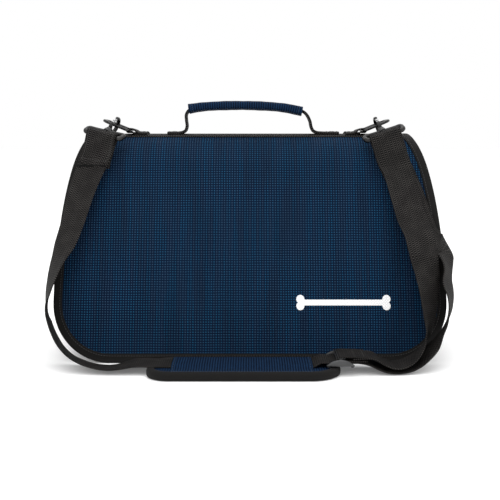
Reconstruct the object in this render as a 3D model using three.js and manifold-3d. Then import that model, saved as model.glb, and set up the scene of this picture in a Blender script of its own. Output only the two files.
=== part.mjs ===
// Pet carrier bag: two leaning foam panels meet at a rounded ridge, with mesh doors at both ends,
// a carrying handle, and an adjustable shoulder strap on snap hooks.
// Millimetres, +Z up, +X to the right of the front panel, the front faces -Y.
// The origin is the middle of the base, on the floor.
import * as THREE from 'three';
import { mergeVertices } from 'three/addons/utils/BufferGeometryUtils.js';
import Module from 'manifold-3d';

const wasm = await Module();
wasm.setup();

// ---- driving dimensions -------------------------------------------------
const GAP = 0.3;                 // clearance between pieces that touch
const FAR = 400;                 // reach of a cutting block, well outside the bag

// cross-section of the cabin (YZ)
const BASE_HALF_DEPTH = 116;
const LEAN = THREE.MathUtils.degToRad(16);
const RIDGE_R = 52.5;
const ARC_Z = (BASE_HALF_DEPTH - RIDGE_R / Math.cos(LEAN)) / Math.tan(LEAN);
const APEX_Z = ARC_Z + RIDGE_R;

// outline of a panel (XZ), outside its binding
const HALF_WIDTH = 234;
const CORNER_R = 69;
const RIDGE_HALF = 199;
const SIDE_PULL_LOW = 150;
const SIDE_PULL_HIGH = [222, 232];

// panels, bindings and gusset
const PANEL_T = 5;
const TAPE_T = 1.2;
const TAPE_W = 10.5;
const TAPE_WRAP = 8;
const SKIN_INSET = TAPE_T + GAP;
const GUSSET_T = 3;
const FRAME_Z = 45;              // where the base gusset stops and the end frames start
const BOARD = { halfX: 164, halfY: 102, corner: 14, t: 2.6 };
const MAT = { halfX: 178, halfY: 99, corner: 30, t: 12 };

// end doors
const WINDOW_INSET = 30;
const WINDOW_Z = 66;
const ZIP_W = 1.6;
const DOOR_BORDER = 12;

// webbing
const STRAP_W = 38;
const STRAP_T = 1.5;
const RIDGE_WEB_T = 1.0;
const RIDGE_WEB_HALF = 184;
const TAB_T = 1.2;

// D-rings
const RING_WIRE = 1.8;
const RING_TILT = THREE.MathUtils.degToRad(22);
const RING_HALF_Y = 21.3;
const RING_REACH = 33;
const RING_CORNER = 12;
const RING_BAR_Z = APEX_Z + RIDGE_WEB_T + TAB_T + 3 * GAP + 0.2 + RING_WIRE;
const GRIP_ALONG = 17;           // where the hook holds the ring, measured from the ring's bar

// snap hooks
const BOWL_R = 7.2;
const CLAW_W = 3.6;
const CLAW_T = 4;
const LOOP_ROD = 2.5;
const LOOP_HALF = 23.5;
const LOOP_RISE = 9;
const HUB = { r: 5, length: 5, bore: 2.3 };
const PIN = { r: 1.9, headR: 3.4, headT: 1.4 };

// shoulder pad and slider
const PAD = { x: -7, y: -157, length: 218, width: 72, corner: 26, foam: 8.2 };
const PAD_TAPE = 2.4;
const STRAP_Y = -150;            // line of the webbing through the pad and the slider
const PAD_WEB_Z = 9.4;
const SLEEVE = { from: -88, to: 70, half: 30, t: 1.2 };
const SLIDER_X = 101;
const SLIDER_WEB_Z = 13.8;
const SLIDER_LAYER = 4.35;       // from the webbing below the slider's middle bar to the one above it
const SLIDER_BAR = 1.5;
const SLIDER_REACH = 13;

// handle
const HANDLE_AXIS_Z = 284;
const HANDLE_W = 25;
const HANDLE_T = 1.6;
const GRIP_HALF_Y = 15;
const GRIP_HALF_Z = 5.8;

// ---- materials ----------------------------------------------------------
const finishes = {
  fabric: { color: 0x14304f, roughness: 0.85, metalness: 0 },
  binding: { color: 0x1d1b1b, roughness: 0.8, metalness: 0 },
  webbing: { color: 0x26262a, roughness: 0.75, metalness: 0 },
  mesh: { color: 0x17181b, roughness: 0.7, metalness: 0 },
  fleece: { color: 0xb9b6ae, roughness: 0.95, metalness: 0 },
  board: { color: 0x2b2b2c, roughness: 0.7, metalness: 0 },
  metal: { color: 0x3c3e42, roughness: 0.35, metalness: 0.9 },
  steel: { color: 0xa9abae, roughness: 0.3, metalness: 1 },
  plastic: { color: 0x2e2f31, roughness: 0.5, metalness: 0 },
};

const bag = new THREE.Group();

function addPiece(name, geometry, finish, parent = bag) {
  const mesh = new THREE.Mesh(geometry, new THREE.MeshStandardMaterial(finishes[finish]));
  mesh.name = name;
  parent.add(mesh);
  return mesh;
}

// ---- solids -------------------------------------------------------------
function toSolid(geometry) {
  const bare = geometry.clone();
  bare.deleteAttribute('normal');
  bare.deleteAttribute('uv');
  const merged = mergeVertices(bare, 1e-4);
  return new wasm.Manifold(new wasm.Mesh({
    numProp: 3,
    vertProperties: new Float32Array(merged.attributes.position.array),
    triVerts: new Uint32Array(merged.index.array),
  }));
}

function toGeometry(solid) {
  const mesh = solid.getMesh();
  const geometry = new THREE.BufferGeometry();
  geometry.setAttribute('position', new THREE.Float32BufferAttribute(mesh.vertProperties, 3));
  geometry.setIndex(Array.from(mesh.triVerts));
  return geometry;
}

function block(lowX, highX, lowY, highY, lowZ, highZ) {
  const geometry = new THREE.BoxGeometry(highX - lowX, highY - lowY, highZ - lowZ);
  geometry.translate((lowX + highX) / 2, (lowY + highY) / 2, (lowZ + highZ) / 2);
  return toSolid(geometry);
}

// A flat shape of [x, z] points carried along Y.
function prismAlongY(points, lowY, highY) {
  const shape = new THREE.Shape(points.map(([x, z]) => new THREE.Vector2(x, z)));
  const geometry = new THREE.ExtrudeGeometry(shape, { depth: highY - lowY, bevelEnabled: false });
  geometry.rotateX(Math.PI / 2);
  geometry.translate(0, highY, 0);
  return toSolid(geometry);
}

// A flat shape of [y, z] points carried along X.
function prismAlongX(points, lowX, highX) {
  const shape = new THREE.Shape(points.map(([y, z]) => new THREE.Vector2(y, z)));
  const geometry = new THREE.ExtrudeGeometry(shape, { depth: highX - lowX, bevelEnabled: false });
  geometry.applyMatrix4(new THREE.Matrix4().makeBasis(
    new THREE.Vector3(0, 1, 0), new THREE.Vector3(0, 0, 1), new THREE.Vector3(1, 0, 0)));
  geometry.translate(lowX, 0, 0);
  return toSolid(geometry);
}

// A flat shape carried up Z.
function prismAlongZ(shape, lowZ, highZ) {
  const geometry = new THREE.ExtrudeGeometry(shape, {
    depth: highZ - lowZ, bevelEnabled: false, curveSegments: 6,
  });
  geometry.translate(0, 0, lowZ);
  return toSolid(geometry);
}

function roundedRectangle(halfX, halfY, radius) {
  const shape = new THREE.Shape();
  shape.absarc(halfX - radius, halfY - radius, radius, 0, Math.PI / 2);
  shape.absarc(radius - halfX, halfY - radius, radius, Math.PI / 2, Math.PI);
  shape.absarc(radius - halfX, radius - halfY, radius, Math.PI, 1.5 * Math.PI);
  shape.absarc(halfX - radius, radius - halfY, radius, 1.5 * Math.PI, 2 * Math.PI);
  return shape;
}

// A closed loop of round wire along a flat curve, whose plane has the given normal.
function wireLoop(curve, normal, radius, steps, sides = 8) {
  const positions = [];
  const indices = [];
  for (let i = 0; i < steps; i += 1) {
    const at = curve.getPointAt(i / steps);
    const outward = curve.getTangentAt(i / steps).cross(normal);
    for (let k = 0; k < sides; k += 1) {
      const turn = 2 * Math.PI * k / sides;
      const corner = at.clone();
      corner.addScaledVector(outward, radius * Math.cos(turn));
      corner.addScaledVector(normal, radius * Math.sin(turn));
      positions.push(...corner.toArray());
      const next = (k + 1) % sides;
      const ring = i * sides;
      const after = ((i + 1) % steps) * sides;
      indices.push(ring + k, after + next, ring + next, ring + k, after + k, after + next);
    }
  }
  const geometry = new THREE.BufferGeometry();
  geometry.setAttribute('position', new THREE.Float32BufferAttribute(positions, 3));
  geometry.setIndex(indices);
  return toSolid(geometry);
}

// A bar between two points.
function bar(from, to, radius, sides = 8) {
  const axis = to.clone().sub(from);
  const geometry = new THREE.CylinderGeometry(radius, radius, axis.length(), sides);
  geometry.applyQuaternion(new THREE.Quaternion().setFromUnitVectors(
    new THREE.Vector3(0, 1, 0), axis.clone().normalize()));
  geometry.translate(...from.clone().add(to).multiplyScalar(0.5).toArray());
  return geometry;
}

// A flat band through stations of { at, across }: across points to one edge of the band.
function band(stations, width, thickness) {
  const positions = [];
  const indices = [];
  stations.forEach((station, i) => {
    const before = stations[Math.max(i - 1, 0)].at;
    const after = stations[Math.min(i + 1, stations.length - 1)].at;
    const along = after.clone().sub(before).normalize();
    const across = station.across.clone();
    across.addScaledVector(along, -across.dot(along)).normalize();
    const face = along.clone().cross(across);
    for (const [side, level] of [[-1, -1], [1, -1], [1, 1], [-1, 1]]) {
      const corner = station.at.clone();
      corner.addScaledVector(across, side * width / 2);
      corner.addScaledVector(face, level * thickness / 2);
      positions.push(...corner.toArray());
    }
  });
  const last = (stations.length - 1) * 4;
  for (let ring = 0; ring < last; ring += 4) {
    for (let k = 0; k < 4; k += 1) {
      const a = ring + k;
      const b = ring + (k + 1) % 4;
      indices.push(a, b, b + 4, a, b + 4, a + 4);
    }
  }
  indices.push(0, 2, 1, 0, 3, 2);
  indices.push(last, last + 1, last + 2, last, last + 2, last + 3);
  const geometry = new THREE.BufferGeometry();
  geometry.setAttribute('position', new THREE.Float32BufferAttribute(positions, 3));
  geometry.setIndex(indices);
  return geometry;
}

const vec = (x, y, z) => new THREE.Vector3(x, y, z);

// Smooths a hand-set list of [x, y, z, acrossX, acrossY, acrossZ] rows into band stations.
function smoothStations(rows, steps) {
  const places = rows.map((row) => vec(...row.slice(0, 3)));
  const widths = rows.map((row) => vec(...row.slice(3, 6)));
  const centre = new THREE.CatmullRomCurve3(places, false, 'centripetal');
  const across = new THREE.CatmullRomCurve3(widths, false, 'catmullrom', 0.3);
  const stations = [];
  for (let i = 0; i <= steps; i += 1) {
    stations.push({ at: centre.getPoint(i / steps), across: across.getPoint(i / steps) });
  }
  return stations;
}

// ---- the cabin's two curves ---------------------------------------------
// Cross-section of the cabin, moved inwards by inset, and carried on below the floor.
function section(inset) {
  const radius = RIDGE_R - inset;
  const foot = BASE_HALF_DEPTH - inset / Math.cos(LEAN);
  const below = 20;
  const steps = 22;
  const points = [[-foot - below * Math.tan(LEAN), -below]];
  for (let i = 0; i <= steps; i += 1) {
    const turn = Math.PI - LEAN - (Math.PI - 2 * LEAN) * i / steps;
    points.push([radius * Math.cos(turn), ARC_Z + radius * Math.sin(turn)]);
  }
  points.push([foot + below * Math.tan(LEAN), -below]);
  return points.reverse();
}

// Outline of a panel seen from the front, moved inwards by inset.
function outline(inset) {
  const side = new THREE.CubicBezierCurve(
    new THREE.Vector2(HALF_WIDTH, CORNER_R),
    new THREE.Vector2(HALF_WIDTH, SIDE_PULL_LOW),
    new THREE.Vector2(...SIDE_PULL_HIGH),
    new THREE.Vector2(RIDGE_HALF, APEX_Z + TAPE_T + GAP));
  const half = [];
  const cornerSteps = 8;
  for (let i = 0; i <= cornerSteps; i += 1) {
    const turn = -Math.PI / 2 + (Math.PI / 2) * i / cornerSteps;
    const radius = CORNER_R - inset;
    half.push([HALF_WIDTH - CORNER_R + radius * Math.cos(turn), CORNER_R + radius * Math.sin(turn)]);
  }
  const sideSteps = 10;
  for (let i = 1; i <= sideSteps; i += 1) {
    const at = side.getPoint(i / sideSteps);
    const along = side.getTangent(i / sideSteps);
    half.push([at.x - along.y * inset, at.y + along.x * inset]);
  }
  half.push([half[half.length - 1][0] - 14, APEX_Z + 14]);
  return [...half, ...half.map(([x, z]) => [-x, z]).reverse()];
}

const cabin = (inset) => prismAlongX(section(inset), -FAR, FAR);
const front = (inset) => prismAlongY(outline(inset), -FAR, FAR);

// The layer of the cabin between two depths below its outer face.
const layer = (outer, inner) => cabin(outer).subtract(cabin(inner));
// The layer of the ends and base between two depths below the outline.
const rim = (outer, inner) => front(outer).subtract(front(inner));

// ---- panels and bindings ------------------------------------------------
function buildPanels() {
  const shell = layer(0, PANEL_T).intersect(front(SKIN_INSET));
  const tape = layer(-SKIN_INSET, -GAP).intersect(rim(0, TAPE_W))
    .add(layer(-SKIN_INSET, PANEL_T + TAPE_WRAP).intersect(rim(0, TAPE_T)));
  const halves = {
    front: block(-FAR, FAR, -FAR, -GAP / 2, -FAR, FAR),
    back: block(-FAR, FAR, GAP / 2, FAR, -FAR, FAR),
  };
  for (const [side, half] of Object.entries(halves)) {
    addPiece(`${side}_panel`, toGeometry(shell.intersect(half)), 'fabric');
    addPiece(`${side}_binding`, toGeometry(tape.intersect(half)), 'binding');
  }
}

// ---- base, board and mat ------------------------------------------------
function buildBase() {
  const inside = cabin(PANEL_T + GAP);
  const skin = rim(SKIN_INSET, SKIN_INSET + GUSSET_T).intersect(inside);
  const sole = rim(0, SKIN_INSET + 1).intersect(cabin(PANEL_T + TAPE_WRAP + GAP));
  const gusset = skin.add(sole).intersect(block(-FAR, FAR, -FAR, FAR, -1, FRAME_Z - GAP / 2));
  addPiece('base_gusset', toGeometry(gusset), 'binding');
  const boardZ = SKIN_INSET + GUSSET_T + GAP;
  const matZ = boardZ + BOARD.t + GAP;
  const slab = ({ halfX, halfY, corner, t }, z) => (
    prismAlongZ(roundedRectangle(halfX, halfY, corner), z, z + t));
  addPiece('base_board', toGeometry(slab(BOARD, boardZ)), 'board');
  addPiece('fleece_mat', toGeometry(slab(MAT, matZ)), 'fleece');
}

// ---- ends: frame, zip and door ------------------------------------------
function buildEnd(side, sign) {
  const half = sign > 0 ? block(0, FAR, -FAR, FAR, -FAR, FAR) : block(-FAR, 0, -FAR, FAR, -FAR, FAR);
  const above = (z) => block(-FAR, FAR, -FAR, FAR, z, FAR);
  const skin = rim(SKIN_INSET, SKIN_INSET + GUSSET_T).intersect(half);
  const window = (inset, z) => cabin(WINDOW_INSET + inset).intersect(above(z));
  const frame = skin.intersect(cabin(PANEL_T + GAP)).intersect(above(FRAME_Z + GAP / 2))
    .subtract(window(0, WINDOW_Z));
  const zip = rim(SKIN_INSET - 0.3, SKIN_INSET + GUSSET_T - 0.5).intersect(half)
    .intersect(window(GAP, WINDOW_Z + GAP).subtract(window(GAP + ZIP_W, WINDOW_Z - 1)));
  const edge = GAP + ZIP_W + GAP;
  const doorSkin = rim(SKIN_INSET + 0.3, SKIN_INSET + GUSSET_T - 0.5).intersect(half);
  const border = doorSkin.intersect(window(edge, WINDOW_Z + 2))
    .subtract(window(edge + DOOR_BORDER, WINDOW_Z + 2 + DOOR_BORDER));
  const mesh = rim(SKIN_INSET + 1, SKIN_INSET + 1.8).intersect(half)
    .intersect(window(edge + DOOR_BORDER + GAP, WINDOW_Z + 2 + DOOR_BORDER + GAP));
  addPiece(`${side}_end_frame`, toGeometry(frame), 'binding');
  addPiece(`${side}_zip`, toGeometry(zip), 'plastic');
  addPiece(`${side}_door_border`, toGeometry(border), 'binding');
  addPiece(`${side}_door_mesh`, toGeometry(mesh), 'mesh');
  buildZipSlider(side, sign);
}

// The zip slider is parked below the door's hinge line, at the rear leg of the zip.
function buildZipSlider(side, sign) {
  const low = 46;
  const high = 58;
  const middleY = BASE_HALF_DEPTH - low * Math.tan(LEAN) - (WINDOW_INSET + 1) / Math.cos(LEAN);
  const nearX = HALF_WIDTH - SKIN_INSET + 1;
  const xs = [sign * nearX, sign * (nearX + 2.4)].sort((a, b) => a - b);
  const body = block(xs[0], xs[1], middleY - 4.5, middleY + 4.5, low, high);
  const lugXs = [sign * (nearX + 2), sign * (nearX + 5)].sort((a, b) => a - b);
  const lugs = block(lugXs[0], lugXs[1], middleY - 3.4, middleY - 2.3, low + 2, low + 7)
    .add(block(lugXs[0], lugXs[1], middleY + 2.3, middleY + 3.4, low + 2, low + 7));
  addPiece(`${side}_zip_slider`, toGeometry(body.add(lugs)), 'metal');
  const pullX = [sign * (nearX + 3), sign * (nearX + 4.4)].sort((a, b) => a - b);
  const pull = block(pullX[0], pullX[1], middleY - 1.9, middleY + 1.9, low - 17, low + 5.2);
  addPiece(`${side}_zip_pull`, toGeometry(pull), 'metal');
}

// ---- ridge webbing, handle feet and D-ring tabs --------------------------
function buildRidge() {
  const top = block(-FAR, FAR, -STRAP_W / 2, STRAP_W / 2, 0, FAR);
  const web = layer(-GAP - RIDGE_WEB_T, -GAP).intersect(top).intersect(
    block(-RIDGE_WEB_HALF, RIDGE_WEB_HALF, -FAR, FAR, 0, FAR));
  addPiece('ridge_webbing', toGeometry(web), 'webbing');
}

const FOOT_LOW = -GAP - RIDGE_WEB_T - GAP;     // underside of what is sewn onto the ridge webbing
const footLayer = (thickness) => layer(FOOT_LOW - thickness, FOOT_LOW);

// A handle foot is sewn to the ridge and turns up into a short post beside the handle's leg.
function buildHandleFoot(name, postX, footX, sign) {
  const xs = [postX, footX].sort((a, b) => a - b);
  const strip = block(-FAR, FAR, -HANDLE_W / 2, HANDLE_W / 2, 0, FAR);
  const foot = footLayer(HANDLE_T).intersect(strip).intersect(block(xs[0], xs[1], -FAR, FAR, 0, FAR));
  const postXs = [postX, postX + sign * HANDLE_T].sort((a, b) => a - b);
  const post = block(postXs[0], postXs[1], -HANDLE_W / 2, HANDLE_W / 2, 240, HANDLE_AXIS_Z + 6)
    .subtract(cabin(FOOT_LOW));
  addPiece(name, toGeometry(foot.add(post)), 'webbing');
}

function buildRing(side, sign, barX) {
  // The ring lies in the plane of Y and a line that rises away from the ridge's middle.
  const along = vec(sign * Math.cos(RING_TILT), 0, Math.sin(RING_TILT));
  const place = (a, y) => vec(barX, y, RING_BAR_Z).addScaledVector(along, a);
  const points = [];
  const cornerSteps = 4;
  const addCorner = (a, y, start) => {
    for (let i = 0; i <= cornerSteps; i += 1) {
      const turn = start + (Math.PI / 2) * i / cornerSteps;
      points.push(place(a + RING_CORNER * Math.cos(turn), y + RING_CORNER * Math.sin(turn)));
    }
  };
  const straight = RING_HALF_Y - RING_CORNER;
  points.push(place(6, -RING_HALF_Y));
  points.push(place(12, -RING_HALF_Y));
  addCorner(RING_REACH - RING_CORNER, -straight, -Math.PI / 2);
  addCorner(RING_REACH - RING_CORNER, straight, 0);
  points.push(place(12, RING_HALF_Y));
  points.push(place(6, RING_HALF_Y));
  points.push(place(1, RING_HALF_Y - 0.6));
  points.push(place(0, RING_HALF_Y - 2));
  points.push(place(0, 0));
  points.push(place(0, 2 - RING_HALF_Y));
  points.push(place(1, 0.6 - RING_HALF_Y));
  const curve = new THREE.CatmullRomCurve3(points, true, 'centripetal');
  const normal = along.clone().cross(vec(0, 1, 0));
  addPiece(`${side}_d_ring`, toGeometry(wireLoop(curve, normal, RING_WIRE, 32)), 'metal');
  buildRingTab(side, sign, barX);
}

// The tab is a webbing loop round the ring's bar, sewn down to the ridge.
function buildRingTab(side, sign, barX) {
  const inner = RING_WIRE + GAP + 0.2;
  const outer = inner + TAB_T;
  const halfW = 17;
  const ring = (radius) => {
    const geometry = new THREE.CylinderGeometry(radius, radius, 2 * halfW, 14);
    geometry.translate(barX, 0, RING_BAR_Z);
    return toSolid(geometry);
  };
  const footFrom = barX - sign * 4;
  const footTo = barX - sign * 24;
  const xs = [footFrom, footTo].sort((a, b) => a - b);
  const strip = block(-FAR, FAR, -halfW, halfW, 0, FAR);
  const foot = footLayer(TAB_T).intersect(strip).intersect(block(xs[0], xs[1], -FAR, FAR, 0, FAR));
  const neck = vec(barX - sign * 9, 0, APEX_Z - FOOT_LOW + TAB_T / 2);
  const crown = vec(barX - sign * (inner + TAB_T / 2) * 0.5, 0, RING_BAR_Z + (inner + TAB_T / 2) * 0.86);
  const upper = toSolid(band([
    { at: neck, across: vec(0, 1, 0) },
    { at: crown, across: vec(0, 1, 0) },
  ], 2 * halfW, TAB_T));
  const lower = block(Math.min(barX, neck.x), Math.max(barX, neck.x), -halfW, halfW,
    RING_BAR_Z - outer, RING_BAR_Z - inner);
  const tab = ring(outer).add(upper).add(lower).subtract(ring(inner)).subtract(cabin(FOOT_LOW)).add(foot);
  addPiece(`${side}_d_ring_tab`, toGeometry(tab), 'webbing');
}

// ---- handle -------------------------------------------------------------
const HANDLE = {
  left: -80, right: 77.5, gripLeft: -77, gripRight: 64, topLeft: 302, topRight: 297.5, arch: 303.3,
};

function handlePath(from, to) {
  const curve = new THREE.CatmullRomCurve3([
    vec(HANDLE.left + GAP + HANDLE_T / 2, 0, HANDLE_AXIS_Z),
    vec(HANDLE.left + GAP + HANDLE_T / 2 + 0.2, 0, HANDLE_AXIS_Z + 8),
    vec(HANDLE.gripLeft + 3, 0, HANDLE.topLeft - 2.6),
    vec(HANDLE.gripLeft + 20, 0, HANDLE.topLeft - 0.2),
    vec(-8, 0, HANDLE.arch),
    vec(HANDLE.gripRight - 24, 0, HANDLE.topRight + 3.2),
    vec(HANDLE.gripRight - 1, 0, HANDLE.topRight - 0.2),
    vec(HANDLE.right - 6, 0, HANDLE_AXIS_Z + 7),
    vec(HANDLE.right - GAP - HANDLE_T / 2, 0, HANDLE_AXIS_Z),
  ], false, 'centripetal');
  const stations = [];
  const steps = 20;
  for (let i = 0; i <= steps; i += 1) {
    const t = from + (to - from) * i / steps;
    stations.push({ at: curve.getPointAt(t), across: vec(0, 1, 0) });
  }
  return stations;
}

function buildHandle() {
  // Each leg ends in a half round, so that it can lean over without touching the ridge.
  const web = toSolid(band(handlePath(0, 1), HANDLE_W, HANDLE_T));
  const roundEnd = (x) => {
    const geometry = new THREE.CylinderGeometry(HANDLE_W / 2, HANDLE_W / 2, HANDLE_T, 20);
    geometry.rotateZ(Math.PI / 2);
    geometry.translate(x, 0, HANDLE_AXIS_Z);
    return toSolid(geometry);
  };
  const ends = handlePath(0, 1);
  const legs = web.add(roundEnd(ends[0].at.x)).add(roundEnd(ends[ends.length - 1].at.x));
  addPiece('handle_webbing', toGeometry(legs), 'webbing');

  const gripRun = handlePath(0.125, 0.872);
  const ovalRing = (halfY, halfZ, stations) => {
    const sides = 12;
    const positions = [];
    const indices = [];
    stations.forEach((station, i) => {
      const before = stations[Math.max(i - 1, 0)].at;
      const after = stations[Math.min(i + 1, stations.length - 1)].at;
      const up = after.clone().sub(before).normalize().cross(vec(0, 1, 0));
      for (let k = 0; k < sides; k += 1) {
        const turn = 2 * Math.PI * k / sides;
        const corner = station.at.clone();
        corner.y += halfY * Math.sign(Math.cos(turn)) * Math.abs(Math.cos(turn)) ** 0.75;
        corner.addScaledVector(up, halfZ * Math.sin(turn));
        positions.push(...corner.toArray());
      }
      if (i > 0) {
        for (let k = 0; k < sides; k += 1) {
          const a = (i - 1) * sides + k;
          const b = (i - 1) * sides + (k + 1) % sides;
          indices.push(a, b, b + sides, a, b + sides, a + sides);
        }
      }
    });
    const last = (stations.length - 1) * sides;
    for (let k = 1; k < sides - 1; k += 1) {
      indices.push(0, k + 1, k);
      indices.push(last, last + k, last + k + 1);
    }
    const geometry = new THREE.BufferGeometry();
    geometry.setAttribute('position', new THREE.Float32BufferAttribute(positions, 3));
    geometry.setIndex(indices);
    return toSolid(geometry);
  };
  const slot = toSolid(band(handlePath(0, 1), HANDLE_W + 2 * GAP, HANDLE_T + 2 * GAP));
  const grip = ovalRing(GRIP_HALF_Y, GRIP_HALF_Z, gripRun).subtract(slot);
  addPiece('handle_grip', toGeometry(grip), 'fabric');
}

// ---- snap hooks ---------------------------------------------------------
// A hook's own frame: a runs from its strap loop to its bowl, u along the loop's bar.
function hookFrame(sign, barX, loopCentre, barHint) {
  const grip = vec(barX + sign * GRIP_ALONG * Math.cos(RING_TILT), -RING_HALF_Y,
    RING_BAR_Z + GRIP_ALONG * Math.sin(RING_TILT));
  const a = grip.clone().sub(loopCentre).normalize();
  const u = barHint.clone().addScaledVector(a, -barHint.dot(a)).normalize();
  const n = vec(0.88, sign * 0.24, sign * 0.42);
  n.addScaledVector(a, -n.dot(a)).normalize();
  const b = a.clone().cross(n);
  return { loopCentre, a, u, b, reach: grip.distanceTo(loopCentre) };
}

function place(geometry, xAxis, yAxis, zAxis, origin) {
  geometry.applyMatrix4(new THREE.Matrix4().makeBasis(xAxis, yAxis, zAxis).setPosition(origin));
  return geometry;
}

function buildHook(side, hook) {
  const { loopCentre, a, u, b, reach } = hook;
  // strap loop: a long rounded link with a hub for the swivel
  const linkPoints = [];
  const cornerR = 4;
  for (const [cu, ca, start] of [
    [LOOP_HALF - cornerR, cornerR, -Math.PI / 2], [LOOP_HALF - cornerR, LOOP_RISE - cornerR + 3, 0],
    [cornerR - LOOP_HALF, LOOP_RISE - cornerR + 3, Math.PI / 2], [cornerR - LOOP_HALF, cornerR, Math.PI]]) {
    for (let i = 0; i <= 3; i += 1) {
      const turn = start + (Math.PI / 2) * i / 3;
      linkPoints.push(vec(cu + cornerR * Math.cos(turn), ca + cornerR * Math.sin(turn), 0));
    }
  }
  const linkCurve = new THREE.CatmullRomCurve3(linkPoints, true, 'centripetal');
  const link = wireLoop(linkCurve, vec(0, 0, 1), LOOP_ROD, 26);
  const hub = new THREE.CylinderGeometry(HUB.r, HUB.r, HUB.length, 14);
  hub.translate(0, LOOP_RISE + 3, 0);
  const bore = new THREE.CylinderGeometry(HUB.bore, HUB.bore, 30, 12);
  bore.translate(0, LOOP_RISE + 3, 0);
  const loop = toGeometry(link.add(toSolid(hub)).subtract(toSolid(bore)));
  // loop's own x is the bar, y is the hook's axis; its bar's centre line is y = 0
  place(loop, u, a, u.clone().cross(a), loopCentre);
  addPiece(`${side}_hook_loop`, loop, 'metal');

  // claw: a swivel pin, a shank on one side and a bowl round the ring, in the a-b plane
  const neck = LOOP_RISE + 3 + HUB.length / 2 + GAP;
  const pinFoot = LOOP_RISE - 2.2;
  const outerR = BOWL_R + CLAW_W;
  const base = neck + 3.5;
  const body = new THREE.Shape();
  body.absarc(0, reach, outerR, Math.PI, 0, true);
  body.lineTo(outerR, base + 5);
  body.lineTo(4.5, base);
  body.lineTo(-4.5, base);
  body.lineTo(-outerR, base + 5);
  const bowl = new THREE.Shape();
  bowl.absarc(0, reach, BOWL_R, Math.PI, 0, true);
  bowl.lineTo(BOWL_R, base + 6.5);
  bowl.lineTo(-BOWL_R, base + 6.5);
  const plate = prismAlongZ(body, -CLAW_T / 2, CLAW_T / 2)
    .subtract(prismAlongZ(bowl, -CLAW_T, CLAW_T));
  const gateLow = base + 5.4;
  const gateHigh = reach - 1;
  const gateCut = block(BOWL_R - 0.6, outerR + 1, gateLow, gateHigh, -CLAW_T, CLAW_T);
  const pin = new THREE.CylinderGeometry(PIN.r, PIN.r, base + 1 - pinFoot, 12);
  pin.translate(0, (base + 1 + pinFoot) / 2, 0);
  const head = new THREE.CylinderGeometry(PIN.headR, PIN.headR, PIN.headT, 12);
  head.translate(0, pinFoot + 0.5, 0);
  const claw = plate.subtract(gateCut).add(toSolid(pin)).add(toSolid(head));
  const clawGeometry = toGeometry(claw);
  place(clawGeometry, b.clone().negate(), a, b.clone().negate().cross(a), loopCentre);
  addPiece(`${side}_hook_claw`, clawGeometry, 'metal');

  // gate: a sprung lever that closes the bowl
  const gateX = BOWL_R + 1.6;
  const gate = block(gateX - 1.3, gateX + 1.3, gateLow + GAP, gateHigh - GAP, -CLAW_T / 2, CLAW_T / 2);
  const gateGeometry = toGeometry(gate);
  place(gateGeometry, b.clone().negate(), a, b.clone().negate().cross(a), loopCentre);
  addPiece(`${side}_hook_gate`, gateGeometry, 'steel');
}

// ---- shoulder strap -----------------------------------------------------
// The webbing leans from flat on the panel (0) to edge-on beside the bag (90).
// Its front edge may also lift.
function leaning(towardsMiddle, degrees, lift = 0) {
  const turn = THREE.MathUtils.degToRad(degrees);
  return [towardsMiddle * Math.cos(turn), -Math.sin(turn), Math.sin(THREE.MathUtils.degToRad(lift))];
}

// Webbing folded over a hook's bar: from behind it, over the top, to the front.
function barFold(hook, across, down) {
  const front = across.clone().cross(down).normalize();
  if (front.y > 0) front.negate();
  const radius = LOOP_ROD + GAP + STRAP_T / 2 + 0.6;
  const rows = [];
  const steps = 6;
  for (let i = 0; i <= steps; i += 1) {
    const turn = Math.PI * i / steps;
    const at = hook.loopCentre.clone()
      .addScaledVector(front, -radius * Math.cos(turn))
      .addScaledVector(down, -radius * Math.sin(turn));
    rows.push([...at.toArray(), ...across.toArray()]);
  }
  return { rows, front };
}

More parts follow.
